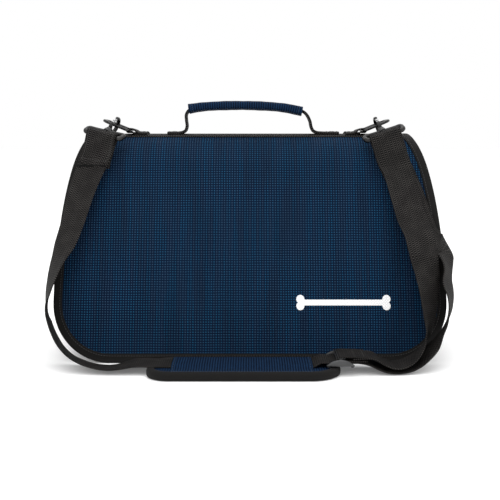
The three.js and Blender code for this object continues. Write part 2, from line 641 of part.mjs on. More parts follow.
function buildStrap(leftHook, rightHook) {
  const leftDown = vec(-0.36, -0.1, -0.93);
  leftDown.addScaledVector(leftHook.u, -leftDown.dot(leftHook.u)).normalize();
  const leftFold = barFold(leftHook, leftHook.u, leftDown);
  const seam = (fold, hook, down, depth, back) => [
    ...hook.loopCentre.clone().addScaledVector(down, depth).addScaledVector(fold.front, -back).toArray(),
    ...hook.u.toArray(),
  ];
  const leftRows = [
    seam(leftFold, leftHook, leftDown, 38, 0.4),
    seam(leftFold, leftHook, leftDown, 26, 0.6),
    seam(leftFold, leftHook, leftDown, 13, 1.6),
    ...leftFold.rows,
    seam(leftFold, leftHook, leftDown, 13, -2.6),
    seam(leftFold, leftHook, leftDown, 26, -2.4),
    [-192, -61.5, 227, ...leaning(1, 16)],
    [-203, -71.5, 196, ...leaning(1, 23)],
    [-209.5, -82, 168.5, ...leaning(1, 32)],
    [-218, -92, 141, ...leaning(1, 38)],
    [-227, -99.5, 118.7, ...leaning(1, 56)],
    [-232, -103.5, 104, ...leaning(1, 63)],
    [-236, -106, 89, ...leaning(1, 69)],
    [-237.5, -111, 74, ...leaning(1, 74)],
    [-235.5, -120.5, 60, ...leaning(1, 81, 4)],
    [-231.5, -125, 48, ...leaning(1, 83, 8)],
    [-226, -129.5, 37, ...leaning(1, 84, 10)],
    [-218, -135.5, 26, ...leaning(1, 85, 11)],
    [-207, -141, 16.5, ...leaning(1, 86, 11)],
    [-194, -145, 10, ...leaning(1, 88, 10)],
    [-180, -148, 6, ...leaning(1, 90, 9)],
    [-165, -149.5, 3.9, ...leaning(1, 90, 7)],
    [-152, STRAP_Y, 4.6, ...leaning(1, 90, 5)],
    [-141, STRAP_Y, 7.2, ...leaning(1, 90, 2)],
    [-131, STRAP_Y, PAD_WEB_Z, ...leaning(1, 90)],
    [-100, STRAP_Y, PAD_WEB_Z, ...leaning(1, 90)],
    [0, STRAP_Y, PAD_WEB_Z, ...leaning(1, 90)],
    [60, STRAP_Y, PAD_WEB_Z, ...leaning(1, 90)],
    [70.5, STRAP_Y, PAD_WEB_Z, ...leaning(1, 90)],
    [79.5, STRAP_Y, SLIDER_WEB_Z, ...leaning(1, 90)],
    [90, STRAP_Y, SLIDER_WEB_Z, ...leaning(1, 90)],
    [106, STRAP_Y, SLIDER_WEB_Z, ...leaning(1, 90)],
    [122, STRAP_Y, SLIDER_WEB_Z, ...leaning(1, 90)],
    [133, STRAP_Y, 11.6, ...leaning(1, 90)],
    [144, STRAP_Y, 6.4, ...leaning(1, 90)],
    [155, STRAP_Y, 2.6, ...leaning(1, 90)],
    [168, -149.5, 1.9, ...leaning(1, 90)],
    [182, -147, 4.2, ...leaning(1, 88)],
    [195, -143, 10.5, ...leaning(1, 87)],
    [207.5, -138, 22, ...leaning(1, 84)],
    [219.5, -131.5, 38, ...leaning(-1, 80)],
    [227, -126, 50, ...leaning(-1, 76)],
    [232, -119, 63, ...leaning(-1, 72)],
    [234.5, -110, 78, ...leaning(-1, 68)],
    [233, -103, 94, ...leaning(-1, 62)],
    [234, -98, 109, ...leaning(-1, 64)],
    [233, -93, 121, ...leaning(-1, 58)],
    [229, -87.8, 130, ...leaning(-1, 48)],
    [221, -91.2, 137.5, ...leaning(-1, 38)],
    [213.5, -90, 146, ...leaning(-1, 28)],
    [206.5, -84.5, 155, ...leaning(-1, 20)],
    [199.5, -76, 172, ...leaning(-1, 12)],
    [190.5, -66, 198, ...leaning(-1, 8)],
  ];
  const rightDown = vec(0.36, -0.1, -0.93);
  rightDown.addScaledVector(rightHook.u, -rightDown.dot(rightHook.u)).normalize();
  const rightAcross = rightHook.u.clone().negate();
  const rightFold = barFold(rightHook, rightAcross, rightDown);
  const rightSeam = (depth, back) => [
    ...rightHook.loopCentre.clone().addScaledVector(rightDown, depth)
      .addScaledVector(rightFold.front, -back).toArray(),
    ...rightAcross.toArray(),
  ];
  const rightRows = [
    rightSeam(30, 1.2),
    rightSeam(14, 2.2),
    ...rightFold.rows,
    rightSeam(14, -2.6),
    rightSeam(30, -2.8),
    [177.5, -63, 225, ...leaning(-1, 10)],
    [185, -75, 196, ...leaning(-1, 12)],
    [193, -88.5, 165, ...leaning(-1, 12)],
    [198.5, -100.5, 150, ...leaning(-1, 14)],
    [200.5, -108, 137, ...leaning(-1, 18)],
    [202, -112.5, 128, ...leaning(-1, 21)],
    [204.5, -114, 117, ...leaning(-1, 25)],
    [206.5, -117, 104, ...leaning(-1, 33)],
    [208, -119.5, 88, ...leaning(-1, 43)],
    [208.5, -122, 73, ...leaning(-1, 50)],
    [208, -125.5, 60, ...leaning(-1, 57)],
    [206.5, -130, 47, ...leaning(-1, 64)],
    [202.5, -135.5, 35, ...leaning(-1, 71)],
    [196, -140, 24, ...leaning(-1, 79)],
    [186.5, -144.5, 14.5, ...leaning(-1, 85)],
    [175, -148, 8.5, ...leaning(-1, 90)],
    [163, STRAP_Y, 7.2, ...leaning(-1, 90)],
    [151, STRAP_Y, 11.4, ...leaning(-1, 90)],
    [139, STRAP_Y, SLIDER_WEB_Z + SLIDER_LAYER, ...leaning(-1, 90)],
    [SLIDER_X + 14, STRAP_Y, SLIDER_WEB_Z + SLIDER_LAYER, ...leaning(-1, 90)],
  ];
  const stations = smoothStations([...leftRows, ...rightRows], 190);
  addPiece('strap_webbing', band(stations, STRAP_W, STRAP_T), 'webbing');
}

// ---- shoulder pad -------------------------------------------------------
function buildPad() {
  const plan = (inset) => roundedRectangle(
    PAD.length / 2 - inset, PAD.width / 2 - inset, PAD.corner - inset);
  const at = (solid) => toGeometry(solid.translate([PAD.x, PAD.y, 0]));
  const foam = prismAlongZ(plan(PAD_TAPE + GAP), 0, PAD.foam);
  const tape = prismAlongZ(plan(0), 0, PAD.foam + 0.1)
    .subtract(prismAlongZ(plan(PAD_TAPE), -1, PAD.foam + 1));
  addPiece('shoulder_pad', at(foam), 'fabric');
  addPiece('pad_binding', at(tape), 'binding');
  const webTop = PAD_WEB_Z + STRAP_T / 2 + GAP;
  const sleeve = block(SLEEVE.from, SLEEVE.to, PAD.y - SLEEVE.half, PAD.y + SLEEVE.half,
    PAD.foam + GAP, webTop + SLEEVE.t)
    .subtract(block(SLEEVE.from - 1, SLEEVE.to + 1, STRAP_Y - STRAP_W / 2 - 0.6, STRAP_Y + STRAP_W / 2 + 0.6,
      0, webTop));
  addPiece('pad_sleeve', toGeometry(sleeve), 'fabric');
}

// ---- tri-glide slider ---------------------------------------------------
function buildSlider() {
  const endZ = SLIDER_WEB_Z - STRAP_T / 2 - GAP - SLIDER_BAR;
  const middleZ = SLIDER_WEB_Z + 3 * (STRAP_T / 2) + 2 * GAP + SLIDER_BAR;
  const railHalf = 1.8;
  const railY = STRAP_W / 2 + 0.6 + railHalf;
  const across = (x, z) => toSolid(bar(
    vec(x, STRAP_Y - railY, z), vec(x, STRAP_Y + railY, z), SLIDER_BAR, 10));
  const crest = middleZ + SLIDER_BAR + 0.4;
  const foot = endZ - SLIDER_BAR;
  const railPoints = [
    [-15, foot], [15, foot], [15.5, endZ + 1], [9, crest - 1.8], [4, crest],
    [-4, crest], [-9, crest - 1.8], [-15.5, endZ + 1],
  ].map(([x, z]) => [SLIDER_X + x, z]);
  let slider = across(SLIDER_X - SLIDER_REACH, endZ)
    .add(across(SLIDER_X + SLIDER_REACH, endZ))
    .add(across(SLIDER_X, middleZ));
  for (const y of [STRAP_Y - railY, STRAP_Y + railY]) {
    slider = slider.add(prismAlongY(railPoints, y - railHalf, y + railHalf));
  }
  addPiece('tri_glide', toGeometry(slider), 'plastic');

  // the strap's sewn end, folded round the slider's middle bar
  const radius = SLIDER_BAR + GAP + STRAP_T / 2;
  const rows = [[SLIDER_X + 30, middleZ - radius], [SLIDER_X + 12, middleZ - radius]];
  const steps = 6;
  for (let i = 0; i <= steps; i += 1) {
    const turn = 1.5 * Math.PI - Math.PI * i / steps;
    rows.push([SLIDER_X + radius * Math.cos(turn), middleZ + radius * Math.sin(turn)]);
  }
  rows.push([SLIDER_X + 12, middleZ + radius], [SLIDER_X + 30, middleZ + radius]);
  const stations = rows.map(([x, z]) => ({ at: vec(x, STRAP_Y, z), across: vec(0, -1, 0) }));
  addPiece('strap_end_loop', band(stations, STRAP_W, STRAP_T), 'webbing');
}

// ---- assembly -----------------------------------------------------------
buildPanels();
buildBase();
buildEnd('left', -1);
buildEnd('right', 1);
buildRidge();
buildHandleFoot('handle_foot_left', HANDLE.left, -104, -1);
buildHandleFoot('handle_foot_right', HANDLE.right, 112, 1);
buildHandle();

const LEFT_BAR_X = -152;
const RIGHT_BAR_X = 143;
buildRing('left', -1, LEFT_BAR_X);
buildRing('right', 1, RIGHT_BAR_X);
const leftHook = hookFrame(-1, LEFT_BAR_X, vec(-178.5, -53, 266), vec(0.948, -0.243, -0.205));
const rightHook = hookFrame(1, RIGHT_BAR_X, vec(163.5, -53, 266), vec(0.953, 0.03, 0.3));
buildHook('left', leftHook);
buildHook('right', rightHook);
buildStrap(leftHook, rightHook);
buildPad();
buildSlider();

export default bag;
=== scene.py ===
"""A structured pet carrier bag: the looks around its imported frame. Blender 4.5.

Lengths below are in millimetres and turned into metres when a mesh is made. +X runs to the right of
the front panel, the front faces -Y, +Z is up, and the origin is the middle of the base on the floor.
"""
import math

import bmesh
import bpy
import numpy as np
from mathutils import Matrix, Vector


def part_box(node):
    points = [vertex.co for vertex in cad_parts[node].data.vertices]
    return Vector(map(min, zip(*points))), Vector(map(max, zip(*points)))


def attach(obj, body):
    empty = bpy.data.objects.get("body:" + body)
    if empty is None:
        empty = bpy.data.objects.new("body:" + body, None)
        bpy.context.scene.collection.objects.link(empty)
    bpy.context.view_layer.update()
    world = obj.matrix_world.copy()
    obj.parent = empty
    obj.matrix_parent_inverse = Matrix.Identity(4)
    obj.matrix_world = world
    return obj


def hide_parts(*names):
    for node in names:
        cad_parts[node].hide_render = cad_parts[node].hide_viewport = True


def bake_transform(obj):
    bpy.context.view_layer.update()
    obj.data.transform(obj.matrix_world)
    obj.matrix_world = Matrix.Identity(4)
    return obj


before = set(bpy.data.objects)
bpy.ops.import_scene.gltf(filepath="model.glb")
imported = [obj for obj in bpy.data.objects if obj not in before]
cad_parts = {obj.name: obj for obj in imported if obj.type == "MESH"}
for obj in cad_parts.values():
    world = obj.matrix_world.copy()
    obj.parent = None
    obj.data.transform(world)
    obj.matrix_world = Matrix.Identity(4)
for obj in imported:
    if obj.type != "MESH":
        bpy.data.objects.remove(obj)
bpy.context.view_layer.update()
MM = 0.001

# ---- driving dimensions, the same as the frame's --------------------------------------------
BASE_HALF_DEPTH = 116.0
LEAN = math.radians(16)
RIDGE_R = 52.5
APEX_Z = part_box("front_panel")[1].z / MM
ARC_Z = APEX_Z - RIDGE_R
MAX_TURN = math.pi / 2 - LEAN
ARC_LENGTH = RIDGE_R * MAX_TURN

HALF_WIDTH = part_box("front_binding")[1].x / MM
CORNER_R = 69.0
FLAT_HALF = HALF_WIDTH - CORNER_R
RIDGE_HALF = 199.0
SIDE_PULL_LOW = 150.0
SIDE_PULL_HIGH = (222.0, 232.0)

PANEL_T = 5.0
RIDGE_SEAM = 0.15  # half the gap between the two panels at the ridge
TAPE_W = 10.5
TAPE_WRAP = 13.0
SKIN_INSET = 1.5
SKIN_T = 3.0
FRAME_Z = 45.0
WINDOW_INSET = 30.0
WINDOW_Z = 66.0
DOOR_GAP = 2.2
DOOR_BORDER = 12.0
DOOR_T = 1.9

STRAP_W = 38.0
STRAP_T = 1.5
FLOOR_Z = 0.0


# ---- camera ---------------------------------------------------------------------------------
CAMERA_PLACE = (0, -1.095, 0.268)  # metres
CAMERA_TILT = 82.23  # degrees up from straight down
CAMERA_SENSOR = 36
CAMERA_LENS = 61.5


def add_camera():
    camera = bpy.data.objects.new("camera", bpy.data.cameras.new("camera"))
    bpy.context.scene.collection.objects.link(camera)
    camera.data.sensor_width = CAMERA_SENSOR
    camera.data.lens = CAMERA_LENS
    camera.location = CAMERA_PLACE
    camera.rotation_euler = (math.radians(CAMERA_TILT), 0, 0)
    bpy.context.scene.camera = camera


add_camera()


# ---- materials ------------------------------------------------------------------------------
DOT_PITCH = 3.07  # the cloth's square grid, from the photo against the strap's width
DOT_ROW_SHARE = 0.975  # its rows lie a little closer than its columns
RIB_PITCH = 2.9
TICK_WIDTH = 4.6
TICK_STEP = 2.4


class Surface:
    """One Principled material, with short calls for its nodes."""

    def __init__(self, name, **sockets):
        self.material = bpy.data.materials.new(name)
        self.material.use_nodes = True
        self.tree = self.material.node_tree
        self.shader = self.tree.nodes["Principled BSDF"]
        for socket, value in sockets.items():
            self.shader.inputs[socket.replace("_", " ")].default_value = value

    def put(self, node, index, value):
        if isinstance(value, bpy.types.NodeSocket):
            self.tree.links.new(value, node.inputs[index])
        elif value is not None:
            node.inputs[index].default_value = value

    def math(self, operation, a, b=None):
        node = self.tree.nodes.new("ShaderNodeMath")
        node.operation = operation
        self.put(node, 0, a)
        self.put(node, 1, b)
        return node.outputs[0]

    def add(self, a, b):
        return self.math("ADD", a, b)

    def sub(self, a, b):
        return self.math("SUBTRACT", a, b)

    def mul(self, a, b):
        return self.math("MULTIPLY", a, b)

    def split(self, vector):
        node = self.tree.nodes.new("ShaderNodeSeparateXYZ")
        self.put(node, 0, vector)
        return node.outputs

    def uv(self):
        node = self.tree.nodes.new("ShaderNodeUVMap")
        node.uv_map = "weave"
        return node.outputs[0]

    def place(self):
        """The point in the piece's own frame, in millimetres."""
        source = self.tree.nodes.new("ShaderNodeTexCoord")
        node = self.tree.nodes.new("ShaderNodeVectorMath")
        node.operation = "SCALE"
        self.tree.links.new(source.outputs["Object"], node.inputs[0])
        node.inputs["Scale"].default_value = 1 / MM
        return node.outputs[0]

    def noise(self, vector, size, detail=2.0, roughness=0.5):
        node = self.tree.nodes.new("ShaderNodeTexNoise")
        self.put(node, 0, vector)
        node.inputs["Scale"].default_value = 1 / size
        node.inputs["Detail"].default_value = detail
        node.inputs["Roughness"].default_value = roughness
        return node.outputs[0]

    def between(self, value, low, high):
        """0 at low, 1 at high, smooth between."""
        node = self.tree.nodes.new("ShaderNodeMapRange")
        node.interpolation_type = "SMOOTHSTEP"
        self.put(node, 0, value)
        node.inputs[1].default_value = low
        node.inputs[2].default_value = high
        return node.outputs[0]

    def wave(self, value, pitch):
        """A cosine of the given pitch, from -1 to 1."""
        return self.math("COSINE", self.mul(value, 2 * math.pi / pitch))

    def mix(self, factor, a, b):
        node = self.tree.nodes.new("ShaderNodeMix")
        node.data_type = "RGBA"
        for index, value in ((0, factor), (6, a), (7, b)):
            self.put(node, index, (*value, 1) if isinstance(value, tuple) else value)
        return node.outputs[2]

    def combine(self, x, y):
        node = self.tree.nodes.new("ShaderNodeCombineXYZ")
        self.put(node, 0, x)
        self.put(node, 1, y)
        return node.outputs[0]

    def times(self, a, b):
        """One colour darkened by another."""
        node = self.tree.nodes.new("ShaderNodeMix")
        node.data_type = "RGBA"
        node.blend_type = "MULTIPLY"
        self.put(node, 0, 1.0)
        self.put(node, 6, a)
        self.put(node, 7, b)
        return node.outputs[2]

    def finish(self, color=None, roughness=None, height=None, depth=0.3):
        """Links what varies over the surface. depth is the height's full travel, in millimetres."""
        if color is not None:
            self.tree.links.new(color, self.shader.inputs["Base Color"])
        if roughness is not None:
            self.tree.links.new(roughness, self.shader.inputs["Roughness"])
        if height is not None:
            node = self.tree.nodes.new("ShaderNodeBump")
            node.inputs["Distance"].default_value = depth * MM
            node.inputs["Strength"].default_value = 1.0
            self.tree.links.new(height, node.inputs["Height"])
            self.tree.links.new(node.outputs[0], self.shader.inputs["Normal"])
        return self.material


def dotted_fabric(name):
    """Navy cloth: rows of blue floats in a square grid on a near-black ground, shaded in columns."""
    s = Surface(name, Specular_IOR_Level=0.07)
    vector = s.uv()
    across, along, _ = s.split(vector)
    sway = s.mul(s.sub(s.noise(vector, 22.0), 0.5), 0.9)
    columns = s.wave(s.add(across, sway), DOT_PITCH)
    rows = s.wave(s.add(along, sway), DOT_PITCH * DOT_ROW_SHARE)
    dots = s.mul(s.between(columns, -0.6, 1.0), s.between(rows, -0.5, 1.0))
    warp = s.wave(across, DOT_PITCH / 4)
    weft = s.wave(along, DOT_PITCH / 4)
    yarn = s.add(s.mul(warp, 0.5), s.mul(weft, 0.5))
    # each column of warp keeps its shade for some way, so the shades run in streaks
    streak = s.noise(s.combine(across, s.mul(along, 0.05)), 4.6, 1.0)
    band = s.noise(s.combine(across, s.mul(along, 0.12)), 23.0, 2.0)
    tint = s.mix(s.between(streak, 0.40, 0.60), (0.010, 0.074, 0.158), (0.022, 0.058, 0.112))
    ground = s.mix(s.between(yarn, -1.0, 1.0), (0.0006, 0.0040, 0.0125), (0.0018, 0.0105, 0.033))
    color = s.mix(dots, ground, tint)
    deep = s.mix(s.between(band, 0.30, 0.66), (0.86, 0.86, 0.86), (1.05, 1.05, 1.05))
    height = s.add(dots, s.mul(yarn, 0.18))
    rough = s.sub(0.86, s.mul(dots, 0.2))
    return s.finish(s.times(color, deep), rough, height, depth=0.35)


def ribbed_cloth(name, from_uv=True, ribs_along=False):
    """The same navy cloth seen close to its ribs, with only a hint of the dots."""
    s = Surface(name, Specular_IOR_Level=0.07)
    vector = s.uv() if from_uv else s.place()
    across, along, _ = s.split(vector)
    if ribs_along:
        across, along = along, across
    ribs = s.wave(across, RIB_PITCH)
    yarn = s.wave(along, 1.0)
    patch = s.noise(vector, 9.0, 2.0)
    shade = s.add(s.mul(ribs, 0.75), s.mul(yarn, 0.2))
    color = s.mix(s.between(s.add(shade, patch), -0.5, 1.5),
                  (0.0006, 0.0026, 0.0100), (0.0072, 0.0255, 0.064))
    height = s.add(ribs, s.mul(yarn, 0.3))
    return s.finish(color, s.add(0.78, s.mul(patch, 0.15)), height, depth=0.25)


def webbing(name):
    """Black polypropylene webbing: fat picks in staggered rows, with a firm edge."""
    s = Surface(name, Specular_IOR_Level=0.12)
    vector = s.uv()
    across, along, _ = s.split(vector)
    pick = s.mul(s.wave(across, TICK_WIDTH), s.wave(along, TICK_STEP))
    cord = s.wave(along, TICK_STEP)
    floats = s.add(s.mul(s.between(pick, 0.1, 0.85), 0.75), s.mul(s.between(cord, 0.0, 0.95), 0.25))
    fray = s.noise(vector, 1.1, 2.0)
    worn = s.noise(vector, 16.0, 2.0)
    pale = s.mix(s.between(worn, 0.35, 0.7), (0.050, 0.0455, 0.0430), (0.082, 0.075, 0.0705))
    color = s.mix(floats, (0.0008, 0.0008, 0.0008), pale)
    height = s.add(floats, s.mul(fray, 0.25))
    rough = s.add(0.6, s.mul(fray, 0.25))
    return s.finish(color, rough, height, depth=0.7)


def binding_tape(name):
    """Matt black tape, ribbed across its width, slightly puckered where it is sewn."""
    s = Surface(name, Sheen_Weight=0.02, Specular_IOR_Level=0.12)
    vector = s.uv()
    across, along, _ = s.split(vector)
    ribs = s.wave(along, 1.15)
    grain = s.wave(across, 1.3)
    pucker = s.noise(vector, 9.0, 1.0)
    color = s.mix(s.between(s.add(ribs, pucker), -0.6, 1.4),
                  (0.0030, 0.0029, 0.0030), (0.0110, 0.0103, 0.0098))
    height = s.add(s.add(s.mul(ribs, 0.35), s.mul(grain, 0.15)), s.mul(pucker, 1.6))
    rough = s.add(0.66, s.mul(pucker, 0.2))
    return s.finish(color, rough, height, depth=0.3)


def plain_cloth(name, dark, light, pitch=0.9, from_uv=True):
    """Plain-woven cloth of two close shades."""
    s = Surface(name, Sheen_Weight=0.02, Specular_IOR_Level=0.12)
    vector = s.uv() if from_uv else s.place()
    across, along, _ = s.split(vector)
    check = s.mul(s.wave(across, pitch * 2), s.wave(along, pitch * 2))
    wear = s.noise(vector, 26.0, 3.0)
    shade = s.between(s.add(check, s.mul(wear, 0.8)), -0.8, 1.4)
    rough = s.add(0.7, s.mul(wear, 0.2))
    height = s.add(check, s.mul(wear, 1.5))
    return s.finish(s.mix(shade, dark, light), rough, height, depth=0.25)


def fleece_pile():
    """Short cream pile in soft tufts."""
    s = Surface("fleece_pile", Sheen_Weight=0.6, Sheen_Roughness=0.6)
    place = s.place()
    tufts = s.noise(place, 3.2, 4.0, 0.7)
    clumps = s.noise(place, 17.0, 3.0)
    shade = s.between(s.add(tufts, s.mul(clumps, 0.7)), 0.55, 1.15)
    color = s.mix(shade, (0.33, 0.31, 0.275), (0.72, 0.69, 0.63))
    return s.finish(color, s.sub(0.98, s.mul(tufts, 0.1)), s.add(tufts, clumps), depth=2.2)


def cast_metal(name, dark, light, rough_low, rough_high):
    """Plated die-cast metal with a faint orange-peel and brighter rubbed edges."""
    s = Surface(name, Metallic=1.0)
    place = s.place()
    peel = s.noise(place, 0.9, 2.0)
    cloud = s.noise(place, 7.0, 3.0)
    edge = s.tree.nodes.new("ShaderNodeNewGeometry").outputs["Pointiness"]
    rubbed = s.between(s.add(edge, s.mul(cloud, 0.06)), 0.53, 0.62)
    cloudy = tuple(0.75 * d + 0.25 * c for d, c in zip(dark, light))
    color = s.mix(rubbed, s.mix(cloud, dark, cloudy), light)
    rough = s.add(rough_low, s.mul(cloud, rough_high - rough_low))
    return s.finish(color, rough, peel, depth=0.06)


def moulded_plastic(name, dark, light):
    """Moulded plastic with a fine spark-eroded grain."""
    s = Surface(name)
    place = s.place()
    grain = s.noise(place, 0.55, 2.0)
    cloud = s.noise(place, 11.0, 2.0)
    color = s.mix(s.between(cloud, 0.3, 0.7), dark, light)
    rough = s.add(0.42, s.mul(grain, 0.2))
    return s.finish(color, rough, grain, depth=0.07)


def thread(name, color):
    """Twisted sewing thread."""
    s = Surface(name)
    place = s.place()
    twist = s.noise(place, 0.5, 1.0)
    shade = s.mix(s.between(twist, 0.3, 0.7), tuple(0.6 * c for c in color), color)
    return s.finish(shade, s.add(0.5, s.mul(twist, 0.2)), twist, depth=0.1)


def printed_white():
    """White screen print: the cloth's grain shows through it."""
    s = Surface("printed_white", Roughness=0.6)
    across, along, _ = s.split(s.uv())
    grain = s.mul(s.wave(across, 3.25), s.wave(along, 3.38))
    color = s.mix(s.between(grain, -1.0, 0.6), (0.70, 0.71, 0.72), (0.90, 0.90, 0.90))
    return s.finish(color, None, grain, depth=0.12)


NAVY = dotted_fabric("navy_dotted_fabric")
NAVY_PAD = ribbed_cloth("navy_pad_fabric", from_uv=False)
NAVY_SLEEVE = ribbed_cloth("navy_sleeve_fabric")
NAVY_GRIP = ribbed_cloth("navy_grip_fabric", ribs_along=True)
WEBBING = webbing("black_webbing")
TAPE = binding_tape("black_binding_tape")
# near-black, darker than the strap: painted shadow under the step where the strap's folded end stops
HEM_SHADOW_BLACK = plain_cloth("hem_painted_shadow", (0.0006, 0.0006, 0.0006), (0.002, 0.002, 0.002))
BLACK_CLOTH = plain_cloth("black_cloth", (0.008, 0.008, 0.009), (0.028, 0.028, 0.03))
LINING = plain_cloth("grey_lining", (0.035, 0.036, 0.04), (0.075, 0.077, 0.083))
NETTING = plain_cloth("black_netting", (0.008, 0.008, 0.009), (0.03, 0.03, 0.032),
                      pitch=0.5, from_uv=False)
BOARD = plain_cloth("board_cover", (0.02, 0.02, 0.021), (0.05, 0.05, 0.052), from_uv=False)
FLEECE = fleece_pile()
GUNMETAL = cast_metal("gunmetal", (0.011, 0.0105, 0.0105), (0.070, 0.070, 0.070), 0.32, 0.46)
BRIGHT_STEEL = cast_metal("bright_steel", (0.24, 0.245, 0.25), (0.55, 0.55, 0.55), 0.18, 0.3)
ZIP_METAL = cast_metal("zip_metal", (0.022, 0.022, 0.023), (0.12, 0.12, 0.125), 0.3, 0.45)
COIL = moulded_plastic("zip_coil", (0.010, 0.010, 0.011), (0.022, 0.022, 0.023))
SLIDER_BLACK = moulded_plastic("slider_plastic", (0.009, 0.009, 0.0095), (0.017, 0.017, 0.0175))
# the slider's front rail takes this lighter grey: a painted highlight on the same black plastic
SLIDER_HIGHLIGHT_GREY = moulded_plastic("slider_painted_highlight", (0.030, 0.031, 0.032), (0.046, 0.047, 0.048))
BLACK_THREAD = thread("black_thread", (0.035, 0.034, 0.034))
NAVY_THREAD = thread("navy_thread", (0.02, 0.045, 0.085))
PRINT = printed_white()


# ---- meshes ---------------------------------------------------------------------------------
def shade_smooth(mesh):
    mesh.polygons.foreach_set("use_smooth", [True] * len(mesh.polygons))


def mesh_piece(name, points, faces, material, body=None, uvs=None):
    """A mesh from points in millimetres. uvs has one pair for each point."""
    mesh = bpy.data.meshes.new(name)
    mesh.from_pydata((np.asarray(points, float) * MM).tolist(), [], faces)
    mesh.validate()
    piece = bpy.data.objects.new(name, mesh)
    bpy.context.scene.collection.objects.link(piece)
    mesh.materials.append(material)
    shade_smooth(mesh)
    if uvs is not None:
        layer = mesh.uv_layers.new(name="weave")
        spread = np.asarray(uvs, float)[[loop.vertex_index for loop in mesh.loops]]
        layer.data.foreach_set("uv", spread.ravel())
    if body:
        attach(piece, body)
    return piece


def grid_faces(rows, columns, closed=False, start=0, flip=False):
    """Quads of a grid of points laid out row by row. closed joins the last column to the first."""
    faces = []
    for i in range(rows - 1):
        for k in range(columns if closed else columns - 1):
            after = (k + 1) % columns
            face = (start + i * columns + k, start + i * columns + after,
                    start + (i + 1) * columns + after, start + (i + 1) * columns + k)
            faces.append(face[::-1] if flip else face)
    return faces


def tube_faces(rows, sides, start=0):
    """A closed tube of rings, with both its ends capped."""
    first = tuple(range(start, start + sides))
    last = tuple(start + (rows - 1) * sides + k for k in range(sides))
    return grid_faces(rows, sides, closed=True, start=start) + [first[::-1], last]


def loop_faces(rows, sides):
    """A tube of rings that meets itself."""
    last = (rows - 1) * sides
    seam = [(last + k, last + (k + 1) % sides, (k + 1) % sides, k) for k in range(sides)]
    return grid_faces(rows, sides, closed=True) + seam


def shell(name, outer, inner, uv, material, body=None, inner_material=None, flip=False):
    """A closed body between two grids of the same shape, given as arrays of (row, column, 3)."""
    rows, columns, _ = outer.shape
    count = rows * columns
    points = np.concatenate([outer.reshape(-1, 3), inner.reshape(-1, 3)])
    top = grid_faces(rows, columns, flip=flip)
    under = grid_faces(rows, columns, start=count, flip=not flip)
    loop = (list(range(columns))
            + [i * columns + columns - 1 for i in range(1, rows)]
            + [(rows - 1) * columns + k for k in range(columns - 2, -1, -1)]
            + [i * columns for i in range(rows - 2, 0, -1)])
    sides = []
    for a, b in zip(loop, loop[1:] + loop[:1]):
        face = (a, a + count, b + count, b)
        sides.append(face[::-1] if flip else face)
    uvs = np.concatenate([uv.reshape(-1, 2)] * 2)
    piece = mesh_piece(name, points, top + under + sides, material, body, uvs)
    if inner_material:
        piece.data.materials.append(inner_material)
        for polygon in list(piece.data.polygons)[len(top):len(top) + len(under)]:
            polygon.material_index = 1
    return piece


def join(name, pieces, body):
    """Several pieces as one, riding on a body."""
    meshes = [p.data for p in pieces]
    with bpy.context.temp_override(active_object=pieces[0], selected_editable_objects=pieces,
                                   object=pieces[0], selected_objects=pieces):
        bpy.ops.object.join()
    pieces[0].name = name
    pieces[0].data.name = name
    for mesh in meshes[1:]:
        if mesh.users == 0:
            bpy.data.meshes.remove(mesh)
    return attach(pieces[0], body)


def outward(piece):
    """Turns every face of a closed mesh outwards."""
    work = bmesh.new()
    work.from_mesh(piece.data)
    bmesh.ops.recalc_face_normals(work, faces=work.faces)
    work.to_mesh(piece.data)
    work.free()
    return piece


def sharpen(piece, degrees):
    """Keeps edges that turn by more than that angle crisp under smooth shading."""
    piece.data.set_sharp_from_angle(angle=math.radians(degrees))
    return piece


def soften(piece):
    """Rounds a coarse mesh with a subdivision surface."""
    modifier = piece.modifiers.new("round", "SUBSURF")
    modifier.levels = 1
    modifier.render_levels = 1


def unit(v):
    return v / np.linalg.norm(v)


def uv_grid(across, along):
    """The weave's coordinates on a grid with a row for each along and a column for each across."""
    return np.stack(np.broadcast_arrays(across[None, :], along[:, None]), axis=-1)


def distances(points):
    """How far along a line of points each one is."""
    steps = np.linalg.norm(np.diff(np.asarray(points), axis=0), axis=1)
    return np.concatenate([[0], np.cumsum(steps)])


def clamped(value):
    """The value held between 0 and 1."""
    return min(1.0, max(0.0, value))


def reshape(piece, height):
    """Moves each point of a piece up or down to height(x, y, z)."""
    for vertex in piece.data.vertices:
        vertex.co.z = height(*(vertex.co / MM)) * MM
    piece.data.update()


def tangents(points, closed=False):
    """Unit tangents of a line of points."""
    if closed:
        tangent = np.roll(points, -1, axis=0) - np.roll(points, 1, axis=0)
    else:
        tangent = np.gradient(points, axis=0)
    return tangent / np.linalg.norm(tangent, axis=1)[:, None]


def sweep(name, points, across, profile, material, body=None, closed=False, scales=1.0):
    """A closed profile of (across, up) pairs carried along a line.

    across is one vector, or one for each point. scales has a number for each point, or two:
    across and up."""
    points = np.asarray(points, float)
    tangent = tangents(points, closed)
    across = np.asarray(across, float)
    across = across - (across * tangent).sum(1)[:, None] * tangent
    across = across / np.linalg.norm(across, axis=1)[:, None]
    up = np.cross(tangent, across)
    profile = np.asarray(profile, float)
    scales = np.asarray(scales, float)
    scales = np.broadcast_to(scales if scales.ndim == 2 else scales[..., None], (len(points), 2))
    sections = (points[:, None, :]
                + across[:, None, :] * (profile[None, :, 0] * scales[:, :1])[:, :, None]
                + up[:, None, :] * (profile[None, :, 1] * scales[:, 1:])[:, :, None])
    faces = (loop_faces if closed else tube_faces)(len(points), len(profile))
    uvs = uv_grid(distances(profile), distances(points)).reshape(-1, 2)
    return outward(mesh_piece(name, sections.reshape(-1, 3), faces, material, body, uvs))


def ellipse(half_x, half_y, sides, power=1.0):
    """An ellipse, or a rounder-cornered box when power is under 1."""
    turns = np.linspace(0, 2 * math.pi, sides, endpoint=False)
    return [(half_x * math.copysign(abs(math.cos(t)) ** power, math.cos(t)),
             half_y * math.copysign(abs(math.sin(t)) ** power, math.sin(t))) for t in turns]


